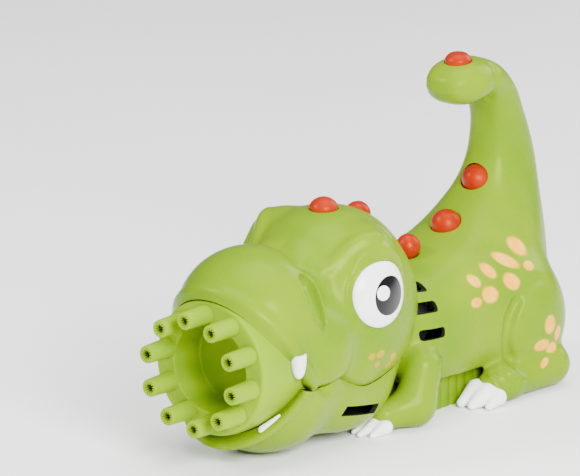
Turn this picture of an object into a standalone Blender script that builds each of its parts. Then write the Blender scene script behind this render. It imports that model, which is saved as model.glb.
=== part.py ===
"""Dinosaur bubble machine: a hand-held toy that blows bubbles from ten nozzles in its mouth.

All lengths are millimetres until add() writes the meshes in metres.  X is the toy's left, it looks
along -Y, Z is up and the toy stands on Z = 0.  Casings are smooth distance fields meshed on a grid,
hollowed, split on X = 0 and opened for what passes through them.  Everything else is turned,
extruded or swept.
"""
import math

import bmesh
import bpy
import numpy as np

for _object in list(bpy.data.objects):
    bpy.data.objects.remove(_object, do_unlink=True)

# ---- driving dimensions -----------------------------------------------------------------------
WALL = 2.2            # moulded wall of every casing
SEAM = 0.15           # each casing half stops this far from X = 0
GAP = 0.5             # clearance between a casing and what fits into it
CELL = 10.0           # mesh grid of the casings' outside
CELL_IN = 13.0        # mesh grid of the casings' inside
TOE_CELL = 4.0        # mesh grid of the claws

RING_Z = 56.0         # height of the nozzle ring axis
RING_R = 30.0         # nozzle circle
NOZZLES = 10
NOZZLE_TURN = 95.9    # angle of one nozzle from +X, degrees
TIP_Y = -145.0        # nozzle tips
MUZZLE_Y = -127.0     # front face of the muzzle
MUZZLE_R = 37.5
MUZZLE_BACK = -88.0
NOZZLE_R, BORE_R = 4.9, 2.6

FAN_Z = 49.5          # blower axis height
FAN_Y0, FAN_Y1 = 16.0, 36.0
FAN_R = 20.5

PAN_X, PAN_Y0, PAN_Y1, PAN_TOP = 26.0, 13.0, 87.0, 24.0
BAY_X, BAY_Y0, BAY_Y1, BAY_TOP = 22.3, 20.5, 79.5, 18.6
CELL_R, CELL_LEN, CELL_PITCH, CELL_Z = 7.1, 50.5, 14.8, 10.6
DOOR_Z0, DOOR_Z1 = 0.3, 2.7
HINGE_Y, HINGE_Z = 21.0, 1.5

KNOB_Y = 86.4         # tail button axis
BUTTON_R = 7.4
BUTTON_TRAVEL = 2.0

# torso and tail: outline in the YZ plane, and a spine of (y, z, half depth, half width)
BODY_UPPER = [(-4, 50), (4, 68), (20, 76), (40, 81), (58, 86), (74, 92), (86, 100), (97, 110),
              (103, 121), (106, 133), (107, 146), (103.5, 156), (96, 160), (84, 159), (74, 162),
              (69, 168.5)]
BODY_LOWER = [(-4, 40), (0, 26), (18, 12), (50, 7), (90, 8), (120, 15), (136, 34), (142, 55),
              (144.5, 78), (145, 100), (144.5, 113), (143, 124), (139.5, 136), (134, 149),
              (127, 163), (116, 175), (104, 181.5), (90, 183.5), (78, 181.5), (70.5, 176),
              (69, 168.5)]
BODY_SPINE = [(0, 44, 18, 26), (20, 46, 28, 36), (50, 48, 32, 40), (80, 52, 36, 41),
              (105, 66, 36, 38), (113, 84, 36, 32), (117, 98, 30, 25), (121, 112, 24, 18.5),
              (123.5, 124, 20, 16), (123, 135, 16.5, 14.5), (120, 147, 13.5, 14),
              (113, 160, 12.5, 14.5), (102, 169, 11.5, 16.5), (88, 171.5, 12, 18),
              (74, 171, 9, 13)]
CHEEK = [(-130, 46), (-100, 45), (-88, 42.5), (-78, 42), (-66, 44), (-55, 39), (-43, 34),
         (-30, 33), (-18, 35), (0, 40), (25, 46)]    # height of the head to jaw line along Y

LIP_TOP_Y, LIP_RAKE = -119.0, 0.62     # front edge of the upper lip, and its slope back
JAW_LIP_Y, JAW_LIP_Z, JAW_RAKE = -119.0, 12.0, 0.78    # front edge of the lower lip
JAW_MOUTH_R = 38.7                     # mouth opening in the jaw
BELLY_Z = 19.5                         # flat underside of the torso, above the belly pan

# orange studs on the ridge line: (y, z, half width, half height, lean about X)
STUDS = {"head_stud_front": (-30.0, 125.0, 8.0, 6.0, 0),
         "head_stud_rear": (0.0, 116.0, 7.0, 6.0, -30),
         "back_stud_front": (43.0, 86.8, 7.0, 7.4, 12),
         "back_stud_middle": (76.0, 92.8, 8.6, 8.0, 28),
         "back_stud_rear": (105.5, 110.5, 8.0, 9.6, 62)}
TAIL_BORE = [(0, 117, 98), (0, 121, 112), (0, 123, 124), (0, 123, 135), (0, 120, 148),
             (0, 113.5, 161.5), (0, 102.5, 170.5), (0, 90, 172)]
TAIL_BORE_R = 7.0
# neck air slots on each side: (start, end along Y, height, half width, inner end along X)
VENTS = [(13, 28.5, 48.5, 3.0, 14), (8, 26.5, 62.8, 2.9, 14), (6, 26.5, 72.3, 2.2, 12),
         (24, 31, 79, 1.4, 5)]
JAW_SLOT = (-58.0, -32.0, 17.6, 23.4)    # start and end along Y, bottom and top, each side
SCREWS_BODY = [(60, 66), (118, 60), (132.5, 112)]        # (y, z), driven from the right
SCREWS_HEAD = [(-75, 100), (-10, 100)]
POST_R = 3.6          # radius of the screw posts

GREEN, DEEP, PALE = (0.40, 0.62, 0.05), (0.30, 0.50, 0.04), (0.50, 0.70, 0.10)
ORANGE, WHITE, BLACK = (0.80, 0.10, 0.02), (0.85, 0.85, 0.82), (0.02, 0.02, 0.02)
STEEL, GREY, COPPER = (0.55, 0.55, 0.57), (0.25, 0.25, 0.27), (0.65, 0.30, 0.10)


# ---- fields -----------------------------------------------------------------------------------
def blend(a, b, k):
    """Smooth union of two distance fields."""
    h = np.maximum(k - np.abs(a - b), 0) / k
    return np.minimum(a, b) - h * h * k * 0.25


def ellipsoid(p, centre, semi, tilt=0.0):
    """Distance field of an ellipsoid leaned by tilt degrees about X."""
    c, s = math.cos(math.radians(tilt)), math.sin(math.radians(tilt))
    x, y, z = p[0] - centre[0], p[1] - centre[1], p[2] - centre[2]
    y, z = c * y + s * z, c * z - s * y
    k0 = np.sqrt((x / semi[0]) ** 2 + (y / semi[1]) ** 2 + (z / semi[2]) ** 2)
    k1 = np.sqrt((x / semi[0] ** 2) ** 2 + (y / semi[1] ** 2) ** 2 + (z / semi[2] ** 2) ** 2)
    return k0 * (k0 - 1) / (k1 + 1e-9)


def limb(p, a, b, ra, rb):
    """Distance field of a round limb that runs from a to b and changes radius."""
    a, d = np.array(a, float), np.array(b, float) - np.array(a, float)
    x, y, z = p[0] - a[0], p[1] - a[1], p[2] - a[2]
    t = np.clip((x * d[0] + y * d[1] + z * d[2]) / (d @ d), 0, 1)
    return np.sqrt((x - t * d[0]) ** 2 + (y - t * d[1]) ** 2 + (z - t * d[2]) ** 2) - (ra + (rb - ra) * t)


def curve(points, n=6):
    """Catmull-Rom curve through the points."""
    q = np.array(points, float)
    q = np.vstack([2 * q[0] - q[1], q, 2 * q[-1] - q[-2]])
    out = []
    for i in range(1, len(q) - 2):
        for t in np.arange(n) / n:
            out.append(0.5 * (2 * q[i] + (q[i + 1] - q[i - 1]) * t
                              + (2 * q[i - 1] - 5 * q[i] + 4 * q[i + 1] - q[i + 2]) * t * t
                              + (3 * q[i] - q[i - 1] - 3 * q[i + 1] + q[i + 2]) * t ** 3))
    return np.array(out + [q[-2]])


def loft(p, upper, lower, spine, power=2.4):
    """Distance field of a body given by its outline in the YZ plane and a spine of sections."""
    poly = np.vstack([curve(upper), curve(lower)[::-1]])
    y, z = np.broadcast_arrays(p[1], p[2])
    near, inside = np.full(y.shape, 1e9), np.zeros(y.shape, bool)
    for a, b in zip(poly, np.roll(poly, -1, axis=0)):
        d = b - a
        t = np.clip(((y - a[0]) * d[0] + (z - a[1]) * d[1]) / max(d @ d, 1e-9), 0, 1)
        near = np.minimum(near, np.hypot(y - a[0] - t * d[0], z - a[1] - t * d[1]))
        inside ^= ((a[1] > z) != (b[1] > z)) & (y < d[0] * (z - a[1]) / (d[1] + 1e-12) + a[0])
    flat = np.where(inside, -near, near)
    total, depth, half = 1e-12, 0.0, 0.0
    for q in curve(spine):
        w = 1 / ((y - q[0]) ** 2 + (z - q[1]) ** 2 + 9) ** 2
        total, depth, half = total + w, depth + w * q[2], half + w * q[3]
    half = half / total
    depth = np.maximum(depth / total, -flat)
    u, w = np.maximum(1 + flat / depth, 1e-4), np.abs(p[0]) / half
    k = (u ** power + w ** power) ** (1 / power)
    slope = np.sqrt(((u / k) ** (power - 1) / depth) ** 2 + ((w / k) ** (power - 1) / half) ** 2)
    return (k - 1) / slope


def body(p):
    """Torso, tail, knob, hips, hind feet and front legs, cut flat at the floor."""
    q = (np.abs(p[0]), p[1], p[2])
    f = np.maximum(loft(p, BODY_UPPER, BODY_LOWER, BODY_SPINE), BELLY_Z - p[2])
    f = blend(f, ellipsoid(q, (34, 103, 38), (17, 29, 31), 12), 7)
    foot = blend(limb(q, (42, 114, 12), (40, 76, 10), 12, 10),
                 limb(q, (40, 76, 10), (40, 66, 8.5), 10, 8.5), 6)
    f = blend(f, foot, 5)
    arm = blend(limb(q, (32.5, 11, 36), (35, 4, 12), 11, 10.5),
                limb(q, (35, 4, 12), (29, -13, 8.5), 10.5, 8), 6)
    return np.maximum(blend(f, arm, 8), -p[2])


def skull(p):
    """Whole head above the jaw, before the mouth is cut."""
    q = (np.abs(p[0]), p[1], p[2])
    f = blend(ellipsoid(p, (0, -91.3, 75.9), (42, 41, 40.4)), ellipsoid(p, (0, -28, 68), (45, 53, 54)), 10)
    f = blend(f, ellipsoid(p, (0, -28, 96), (40, 36, 28)), 8)
    f = blend(f, ellipsoid(q, (29, -30, 104), (15, 17, 16), -15), 7)
    f = blend(f, ellipsoid(q, (30, -72, 60), (17, 24, 24)), 8)
    f = blend(f, ellipsoid(q, (23, -43, 47), (19, 27, 22)), 6)
    f = blend(f, ellipsoid(q, (26, -34, 84), (23, 28, 28)), 6)
    f = blend(f, ellipsoid(p, (0, -66, 92), (26, 26, 18)), 8)
    rim = np.hypot(p[0], p[2] - RING_Z) - (MUZZLE_R + 3.6)
    ahead = (p[1] - LIP_TOP_Y - (RING_Z + MUZZLE_R - p[2]) * LIP_RAKE) * 0.83
    return blend(f, np.hypot(rim, ahead) - 3.4, 5)


def cheek(y):
    line = curve(CHEEK)
    return np.interp(y, line[:, 0], line[:, 1])


def head(p):
    return np.maximum(skull(p), cheek(p[1]) - p[2])


def chin(p):
    """Whole lower jaw tucked in under the cheeks, before its top is cut."""
    f = blend(ellipsoid(p, (0, -44, 48), (43, 66, 43)), ellipsoid(p, (0, -84, 38), (42.5, 40, 37.5)), 8)
    f = blend(f, ellipsoid((np.abs(p[0]), p[1], p[2]), (22, -40, 26), (17, 34, 20)), 8)
    ahead = (p[1] - JAW_LIP_Y - (p[2] - JAW_LIP_Z) * JAW_RAKE) / math.hypot(1, JAW_RAKE)
    f = np.maximum(np.maximum(f, -ahead), 0.6 - p[2])
    below = np.maximum(cheek(p[1]) - p[2], 0)
    tuck = skull(p) + 1.1 - 0.8 * below - 30 * np.clip((-90 - p[1]) / 8, 0, 1)
    return np.maximum(f, tuck)


def jaw(p):
    return np.maximum(chin(p), p[2] - cheek(p[1]) + 0.6)


def claws(p, side, toes):
    """Three toes that share one root."""
    f = None
    for root, tip, wide, thin in toes:
        e = limb(p, (side * root[0], *root[1:]), (side * tip[0], *tip[1:]), wide, thin)
        f = e if f is None else blend(f, e, 2.5)
    return np.maximum(f, -p[2])


# claws on the left feet: root, tip, radius at the root and at the tip
HIND_TOES = [((35, 60, 7), (33, 47, 2), 6.6, 1.9), ((42, 61, 6.5), (41.2, 47.5, 2), 6.2, 1.9),
             ((48.5, 63, 5.2), (50, 53, 2), 4.9, 1.8)]
FRONT_TOES = [((21, -20, 5), (19, -31, 1.8), 4.8, 1.5), ((26.5, -21, 5.6), (25, -33.5, 1.8), 5.0, 1.5),
              ((32, -20, 5), (31.5, -31, 1.8), 4.8, 1.5)]


# ---- meshes -----------------------------------------------------------------------------------
def unfold(f, cell):
    """Fill the grid squares whose corners alternate in and out, where two sheets would share an edge."""
    for _ in range(12):
        changed = False
        for u, v in ((0, 1), (1, 2), (0, 2)):
            g = np.moveaxis(f, (u, v), (0, 1))
            a, b, c, d = g[:-1, :-1], g[1:, :-1], g[:-1, 1:], g[1:, 1:]
            for p, q, r, s in ((a, d, b, c), (b, c, a, d)):
                twin = (p < 0) & (q < 0) & (r >= 0) & (s >= 0)
                if twin.any():
                    changed = True
                    near = twin & (r <= s)
                    r[near] = -0.05 * cell
                    s[twin & ~near] = -0.05 * cell
        if not changed:
            break
    return f


def skin(field, lo, hi, cell, level=0.0):
    """Closed quad mesh of field = level inside the box lo..hi (surface nets)."""
    n = [int(math.ceil((b - a) / cell)) + 1 for a, b in zip(lo, hi)]
    lo = [(a + b) / 2 - cell * (k - 1) / 2 for a, b, k in zip(lo, hi, n)]
    axes = [a + cell * np.arange(k) for a, k in zip(lo, n)]
    f = field((axes[0][:, None, None], axes[1][None, :, None], axes[2][None, None, :])) - level
    f = unfold(np.array(np.broadcast_to(f, n)), cell)
    inside = f < 0
    corners = [(i, j, k) for i in (0, 1) for j in (0, 1) for k in (0, 1)]
    count = sum(inside[i:n[0] - 1 + i, j:n[1] - 1 + j, k:n[2] - 1 + k].astype(int) for i, j, k in corners)
    active = (count > 0) & (count < 8)
    cells = np.argwhere(active)
    index = np.full(active.shape, -1)
    index[active] = np.arange(len(cells))
    value = {c: f[tuple((cells + c).T)] for c in corners}
    total, hits = np.zeros((len(cells), 3)), np.zeros(len(cells))
    for a in corners:
        for axis in range(3):
            if a[axis]:
                continue
            b = tuple(1 if k == axis else a[k] for k in range(3))
            cross = (value[a] < 0) != (value[b] < 0)
            t = np.where(cross, value[a] / np.where(cross, value[a] - value[b], 1), 0)
            point = np.tile(np.array(a, float), (len(cells), 1))
            point[:, axis] = t
            total += point * cross[:, None]
            hits += cross
    verts = np.array(lo) + cell * (cells + total / hits[:, None])
    faces = []
    for axis in range(3):
        u, v = (axis + 1) % 3, (axis + 2) % 3
        first = np.take(inside, np.arange(n[axis] - 1), axis)
        edges = np.argwhere(first != np.take(inside, np.arange(1, n[axis]), axis))
        edges = edges[(edges[:, u] > 0) & (edges[:, v] > 0)
                      & (edges[:, u] < n[u] - 1) & (edges[:, v] < n[v] - 1)]
        ring = []
        for du, dv in ((-1, -1), (0, -1), (0, 0), (-1, 0)):
            c = edges.copy()
            c[:, u] += du
            c[:, v] += dv
            ring.append(index[tuple(c.T)])
        ring = np.stack(ring, 1)
        flip = ~first[tuple(edges.T)]
        ring[flip] = ring[flip][:, ::-1]
        faces += [tuple(r) for r in ring.tolist()]
    return verts.tolist(), faces


def box(lo, hi):
    (a, b, c), (d, e, f) = lo, hi
    v = [(a, b, c), (d, b, c), (d, e, c), (a, e, c), (a, b, f), (d, b, f), (d, e, f), (a, e, f)]
    return v, [(3, 2, 1, 0), (4, 5, 6, 7), (0, 1, 5, 4), (1, 2, 6, 5), (2, 3, 7, 6), (3, 0, 4, 7)]


def prism(outline, z0, z1):
    """Outline of (x, y) points extruded along Z."""
    n = len(outline)
    v = [(x, y, z0) for x, y in outline] + [(x, y, z1) for x, y in outline]
    return v, [tuple(range(n))[::-1], tuple(range(n, 2 * n))] + [
        (i, (i + 1) % n, n + (i + 1) % n, n + i) for i in range(n)]


def turn(profile, centre, axis="Y", n=24):
    """Closed profile of (radius, position along the axis) turned round the axis."""
    v, ids = [], []
    for r, t in profile:
        row = []
        for k in range(n if r > 1e-6 else 1):
            a = 2 * math.pi * k / n
            u, w = r * math.cos(a), r * math.sin(a)
            x, y, z = {"X": (t, u, w), "Y": (u, t, w), "Z": (u, w, t)}[axis]
            row.append(len(v))
            v.append((x + centre[0], y + centre[1], z + centre[2]))
        ids.append(row if r > 1e-6 else row * n)
    faces = []
    for a, b in zip(ids, ids[1:] + ids[:1]):
        for k in range(n):
            face = [a[k], a[(k + 1) % n], b[(k + 1) % n], b[k]]
            face = [q for i, q in enumerate(face) if q not in face[:i]]
            if len(face) > 2:
                faces.append(tuple(face))
    return v, faces


def pipe(rings, n=20):
    """Rings (y, z, radius) along Y joined in a closed loop: out along the skin, back along the bore."""
    v, faces = [], []
    for y, z, r in rings:
        v += [(r * math.cos(2 * math.pi * k / n), y, z + r * math.sin(2 * math.pi * k / n)) for k in range(n)]
    for i in range(len(rings)):
        j = (i + 1) % len(rings)
        faces += [(i * n + k, i * n + (k + 1) % n, j * n + (k + 1) % n, j * n + k) for k in range(n)]
    return v, faces


def wire(points, r, n=6):
    """Round wire swept along points."""
    q = np.array(points, float)
    d = np.gradient(q, axis=0)
    d /= np.linalg.norm(d, axis=1)[:, None]
    up = np.array([0.0, 0.0, 1.0]) if abs(d[0][2]) < 0.9 else np.array([1.0, 0.0, 0.0])
    v, faces = [], []
    for p, t in zip(q, d):
        up = up - t * (up @ t)
        up /= np.linalg.norm(up)
        side = np.cross(t, up)
        v += [tuple(p + r * (math.cos(2 * math.pi * k / n) * up + math.sin(2 * math.pi * k / n) * side))
              for k in range(n)]
    for i in range(len(q) - 1):
        faces += [(i * n + k, i * n + (k + 1) % n, (i + 1) * n + (k + 1) % n, (i + 1) * n + k)
                  for k in range(n)]
    last = (len(q) - 1) * n
    return v, faces + [tuple(range(n))[::-1], tuple(last + k for k in range(n))]


def coil(x, y, z0, z1, r0, r1, turns, wire_r, axis="Z", steps=10, n=5):
    """Spring between z0 and z1 along the axis."""
    count = int(turns * steps) + 1
    pts = []
    for i in range(count):
        f = i / (count - 1)
        a, r = 2 * math.pi * turns * f, r0 + (r1 - r0) * f
        along = z0 + wire_r + (z1 - z0 - 2 * wire_r) * f
        u, w = r * math.cos(a), r * math.sin(a)
        pts.append((x + u, y + w, along) if axis == "Z" else (x + u, along, y + w))
    return wire(pts, wire_r, n)


def joined(*solids):
    """Several closed solids in one mesh, for use as one cutter."""
    v, f = [], []
    for verts, faces in solids:
        f += [tuple(i + len(v) for i in face) for face in faces]
        v += list(verts)
    return v, f


def add(name, solid, colour, origin=(0, 0, 0)):
    """Object from a solid in millimetres; its origin sits at origin."""
    verts, faces = solid
    bm = bmesh.new()
    for p in verts:
        bm.verts.new([(a - b) / 1000 for a, b in zip(p, origin)])
    bm.verts.ensure_lookup_table()
    for face in faces:
        bm.faces.new([bm.verts[i] for i in face])
    bmesh.ops.recalc_face_normals(bm, faces=bm.faces)
    mesh = bpy.data.meshes.new(name)
    bm.to_mesh(mesh)
    bm.free()
    smooth(mesh)
    material = bpy.data.materials.new(name)
    material.use_nodes = True
    shader = material.node_tree.nodes["Principled BSDF"]
    shader.inputs["Base Color"].default_value = (*colour, 1)
    shader.inputs["Roughness"].default_value = 0.3 if colour in (STEEL, COPPER) else 0.4
    shader.inputs["Metallic"].default_value = 1.0 if colour is STEEL else 0.0
    mesh.materials.append(material)
    obj = bpy.data.objects.new(name, mesh)
    obj.location = [a / 1000 for a in origin]
    bpy.context.scene.collection.objects.link(obj)
    return obj


def boolean(obj, solid, operation="DIFFERENCE", solver="MANIFOLD"):
    """Cut a solid from obj, or join it on, and keep the result as obj's own mesh.

    The casings are cut by faces that nearly follow their own, where EXACT leaves open edges.
    """
    tool = add("tool", solid, GREY)
    modifier = obj.modifiers.new("cut", "BOOLEAN")
    modifier.operation, modifier.solver, modifier.object = operation, solver, tool
    bpy.context.view_layer.update()
    result = bpy.data.meshes.new_from_object(obj.evaluated_get(bpy.context.evaluated_depsgraph_get()))
    obj.modifiers.clear()
    old, obj.data = obj.data, result
    bpy.data.meshes.remove(old)
    bpy.data.meshes.remove(tool.data)
    result.name = obj.name
    return obj


def tidy(obj):
    """Drop the crumbs that cuts leave beside the main body, and shade it smooth between edges."""
    bm = bmesh.new()
    bm.from_mesh(obj.data)
    left, bodies = set(bm.verts), []
    while left:
        stack = [left.pop()]
        found = set(stack)
        while stack:
            for edge in stack.pop().link_edges:
                for vert in edge.verts:
                    if vert in left:
                        left.remove(vert)
                        found.add(vert)
                        stack.append(vert)
        bodies.append(found)
    bodies.sort(key=len, reverse=True)
    for crumb in bodies[1:]:
        bmesh.ops.delete(bm, geom=list(crumb), context="VERTS")
    bm.to_mesh(obj.data)
    bm.free()
    smooth(obj.data)
    return obj


def smooth(mesh):
    mesh.shade_smooth()
    mesh.set_sharp_from_angle(angle=math.radians(35))


def surface_x(field, y, z, side):
    """X of the field's surface on one side, at the given y and z."""
    low, high = np.full(y.shape, 4.0), np.full(y.shape, 70.0)
    for _ in range(30):
        mid = (low + high) / 2
        inside = field((side * mid, y, z)) < 0
        low, high = np.where(inside, mid, low), np.where(inside, high, mid)
    return side * low


def pad(field, side, centre, semi, tilt, rise, depth, n=16):
    """Lens that follows the field's surface: an ellipse in the YZ plane, proud by rise, sunk by depth."""
    v, rows = [], []
    c, s = math.cos(math.radians(tilt)), math.sin(math.radians(tilt))
    for k, lift in ((0, rise), (0.5, rise * 0.93), (0.85, rise * 0.6), (1, 0),
                    (1, -depth), (0.5, -depth), (0, -depth)):
        angle = 2 * math.pi * np.arange(n if k else 1) / n
        a, b = k * semi[0] * np.cos(angle), k * semi[1] * np.sin(angle)
        y, z = centre[0] + c * a - s * b, centre[1] + s * a + c * b
        x = surface_x(field, y, z, side) + side * lift
        rows.append([len(v) + i for i in range(len(y))] if k else [len(v)] * n)
        v += [tuple(q) for q in np.stack([x, y, z], 1).tolist()]
    faces = []
    for a, b in zip(rows, rows[1:]):
        for i in range(n):
            face = [a[i], a[(i + 1) % n], b[(i + 1) % n], b[i]]
            faces.append(tuple(q for j, q in enumerate(face) if q not in face[:j]))
    return v, faces


def stud(y, z, half, height, lean, grow=0.0, n=12):
    """Ellipsoid stud on the ridge line, leaned about X."""
    rows = 6
    profile = [((half + grow) * math.sin(math.pi * k / rows), (height + grow) * math.cos(math.pi * k / rows))
               for k in range(rows + 1)]
    profile[0], profile[-1] = (0, height + grow), (0, -height - grow)
    v, faces = turn(profile, (0, 0, 0), "Z", n)
    c, s = math.cos(math.radians(lean)), math.sin(math.radians(lean))
    return [(a, y + c * b - s * d, z + s * b + c * d) for a, b, d in v], faces


BODY_BOX = ((-60, -44, -8), (60, 156, 196))
HEAD_BOX = ((-56, -140, 24), (56, 36, 132))
JAW_BOX = ((-56, -128, -8), (56, 36, 52))
HALVES = {"left": box((-90, -200, -20), (SEAM, 200, 220)), "right": box((-SEAM, -200, -20), (90, 200, 220))}
KEEP_OUT = skin(body, *BODY_BOX, CELL, 3 * GAP)
MOUTH = turn([(0, -160), (MUZZLE_R + GAP, -160), (MUZZLE_R + GAP, -80), (0, -80)], (0, 0, RING_Z), n=32)
JAW_MOUTH = turn([(0, -160), (JAW_MOUTH_R, -160), (JAW_MOUTH_R, -80), (0, -80)], (0, 0, RING_Z), n=32)


def toe_box(side, toes):
    """Grid box round one foot's toes."""
    x = sorted((side * 8, side * 64))
    return (x[0], min(t[1][1] for t in toes) - 10, -6), (x[1], max(t[0][1] for t in toes) + 16, 22)


# ---- body -------------------------------------------------------------------------------------
def screw_post(side, y, z, wall_x):
    """Boss inside one half: it meets its twin at the seam."""
    near, far = (SEAM, wall_x) if side == "left" else (-wall_x, -SEAM)
    return turn([(0, near), (POST_R, near), (POST_R, far), (0, far)], (0, y, z), "X", 12)


def screw_bore(y, z, wall_x):
    """Stepped bore: pilot hole in the left post, clearance and head well in the right one."""
    return turn([(0, 6.5), (1.3, 6.5), (1.3, -3.0), (2.7, -3.0), (2.7, -wall_x - 8), (0, -wall_x - 8)],
                (0, y, z), "X", 12)


def casing_x(field, y, z):
    return float(surface_x(field, np.array([float(y)]), np.array([float(z)]), 1)[0])


def post_end(field, y, z):
    """Outer end of a screw post: inside the wall all round, where the wall slopes away."""
    ring = np.radians(np.arange(0, 360, 45))
    return float(surface_x(field, y + POST_R * np.cos(ring), z + POST_R * np.sin(ring), 1).min()) - 0.8


for half in ("left", "right"):
    side = 1 if half == "left" else -1
    shell = add(f"body_shell_{half}", skin(body, *BODY_BOX, CELL), GREEN)
    boolean(shell, skin(body, *BODY_BOX, CELL_IN, -WALL))
    boolean(shell, wire(curve(TAIL_BORE, 2), TAIL_BORE_R, 8))
    boolean(shell, stud(KNOB_Y + 0.4, 170.8, 13.0, 9.4, 0, n=16))
    boolean(shell, HALVES[half])
    for y, z in SCREWS_BODY:
        x = casing_x(body, y, z)
        boolean(shell, screw_post(half, y, z, post_end(body, y, z)), "UNION")
        boolean(shell, screw_bore(y, z, x))
    boolean(shell, box((-PAN_X - GAP, PAN_Y0 - GAP, -5), (PAN_X + GAP, PAN_Y1 + GAP, PAN_TOP + 4)))
    boolean(shell, turn([(0, -12), (15, -12), (15, 10), (0, 10)], (0, 0, FAN_Z), n=24))
    boolean(shell, turn([(0, 176), (BUTTON_R + 0.4, 176), (BUTTON_R + 0.4, 200), (0, 200)],
                        (0, KNOB_Y, 0), "Z", 20))
    boolean(shell, joined(*[box((min(side * x, side * 62), y0, z - w), (max(side * x, side * 62), y1, z + w))
                            for y0, y1, z, w, x in VENTS]))
    for name in ("back_stud_front", "back_stud_middle", "back_stud_rear"):
        boolean(shell, stud(*STUDS[name], grow=0.35))
    boolean(shell, skin(lambda p: claws(p, side, HIND_TOES), *toe_box(side, HIND_TOES), TOE_CELL, 0.4))
    boolean(shell, skin(lambda p: claws(p, side, FRONT_TOES), *toe_box(side, FRONT_TOES), TOE_CELL, 0.4))
    tidy(shell)
    for label, toes in (("hind", HIND_TOES), ("front", FRONT_TOES)):
        add(f"{label}_claws_{half}",
            skin(lambda p: claws(p, side, toes), *toe_box(side, toes), TOE_CELL), WHITE)

# ---- head -------------------------------------------------------------------------------------
EYE = dict(centre=(-36.0, 85.5), semi=(19.0, 18.2), tilt=0)
TEETH_UPPER = (41.6, -102.5, 62.5, 3.3, 10.4)     # x, y, z of the root, radius, length
TEETH_LOWER = (31.0, -106.5, 22.5, 3.8, 9.0)


def tooth(x, y, z, r, length, up, grow=0.0):
    """Rounded cone along Z, rooted in the lip."""
    s = 1 if up else -1
    prof = [(0, -3 - grow), (r + grow, -3 - grow), (r + grow, 0), ((r + grow) * 0.75, length * 0.55),
            (r * 0.35 + grow, length * 0.92), (0, length + grow)]
    return turn([(a, s * b) for a, b in prof], (x, y, z), "Z", 12)


for half in ("left", "right"):
    side = 1 if half == "left" else -1
    shell = add(f"head_shell_{half}", skin(head, *HEAD_BOX, CELL), GREEN)
    boolean(shell, skin(skull, (-56, -140, 4), (56, 36, 132), CELL_IN, -WALL))
    boolean(shell, HALVES[half])
    for y, z in SCREWS_HEAD:
        x = casing_x(skull, y, z)
        boolean(shell, screw_post(half, y, z, post_end(skull, y, z)), "UNION")
        boolean(shell, screw_bore(y, z, x))
    boolean(shell, MOUTH)
    boolean(shell, KEEP_OUT)
    for name in ("head_stud_front", "head_stud_rear"):
        boolean(shell, stud(*STUDS[name], grow=0.35))
    tx, ty, tz, tr, tlong = TEETH_UPPER
    boolean(shell, pad(skull, side, EYE["centre"], [a + 0.4 for a in EYE["semi"]], EYE["tilt"], 6.0, 1.3))
    boolean(shell, tooth(side * tx, ty, tz, tr, tlong, False, 0.35))
    tidy(shell)
    add(f"eye_{half}", pad(skull, side, EYE["centre"], EYE["semi"], EYE["tilt"], 1.0, 0.9), WHITE)
    add(f"tooth_upper_{half}", tooth(side * tx, ty, tz, tr, tlong, False), WHITE)
    tx, ty, tz, tr, tlong = TEETH_LOWER
    add(f"tooth_lower_{half}", tooth(side * tx, ty, tz, tr, tlong, True), WHITE)

lower_jaw = add("lower_jaw", skin(jaw, *JAW_BOX, CELL), GREEN)
boolean(lower_jaw, skin(chin, (-56, -128, -4), (56, 36, 102), CELL_IN, -WALL))
boolean(lower_jaw, JAW_MOUTH)
boolean(lower_jaw, KEEP_OUT)
for side in (1, -1):
    tx, ty, tz, tr, tlong = TEETH_LOWER
    boolean(lower_jaw, tooth(side * tx, ty, tz, tr, tlong, True, 0.35))
    y0, y1, z0, z1 = JAW_SLOT
    boolean(lower_jaw, box((side * 36 - 16, y0, z0), (side * 36 + 16, y1, z1)))
tidy(lower_jaw)

for name, spec in STUDS.items():
    add(name, stud(*spec), ORANGE)

# ---- nozzle head and air path -------------------------------------------------------------------
cup = [(0, -106), (24.6, -106), (24.6, MUZZLE_Y), (36.3, MUZZLE_Y), (MUZZLE_R, MUZZLE_Y + 1.2),
       (MUZZLE_R, MUZZLE_BACK), (35.3, MUZZLE_BACK), (35.3, -124.8), (28.2, -124.8), (28.2, -103.8),
       (0, -103.8)]
nozzle_head = add("nozzle_head", turn(cup, (0, 0, RING_Z), n=32), GREEN)
ring = [math.radians(NOZZLE_TURN + 360 * k / NOZZLES) for k in range(NOZZLES)]
tubes = [turn([(0, TIP_Y), (NOZZLE_R, TIP_Y), (NOZZLE_R, -125.5), (0, -125.5)],
              (RING_R * math.cos(a), 0, RING_Z + RING_R * math.sin(a)), n=10) for a in ring]
bores = [turn([(0, TIP_Y - 2), (BORE_R, TIP_Y - 2), (BORE_R, -121), (0, -121)],
              (RING_R * math.cos(a), 0, RING_Z + RING_R * math.sin(a)), n=10) for a in ring]
boolean(nozzle_head, joined(*tubes), "UNION")
boolean(nozzle_head, joined(*bores))

add("air_duct", pipe([(-96, RING_Z, 34.8), (-87, RING_Z, 34.8), (-52, 53, 12.6), (-2, FAN_Z, 12.6),
                      (8, FAN_Z, 12.6), (8, FAN_Z, 11.1), (-2, FAN_Z, 11.1), (-52.4, 53, 11.1),
                      (-87.8, RING_Z, 33.2), (-96, RING_Z, 33.2)]), BLACK)

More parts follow.
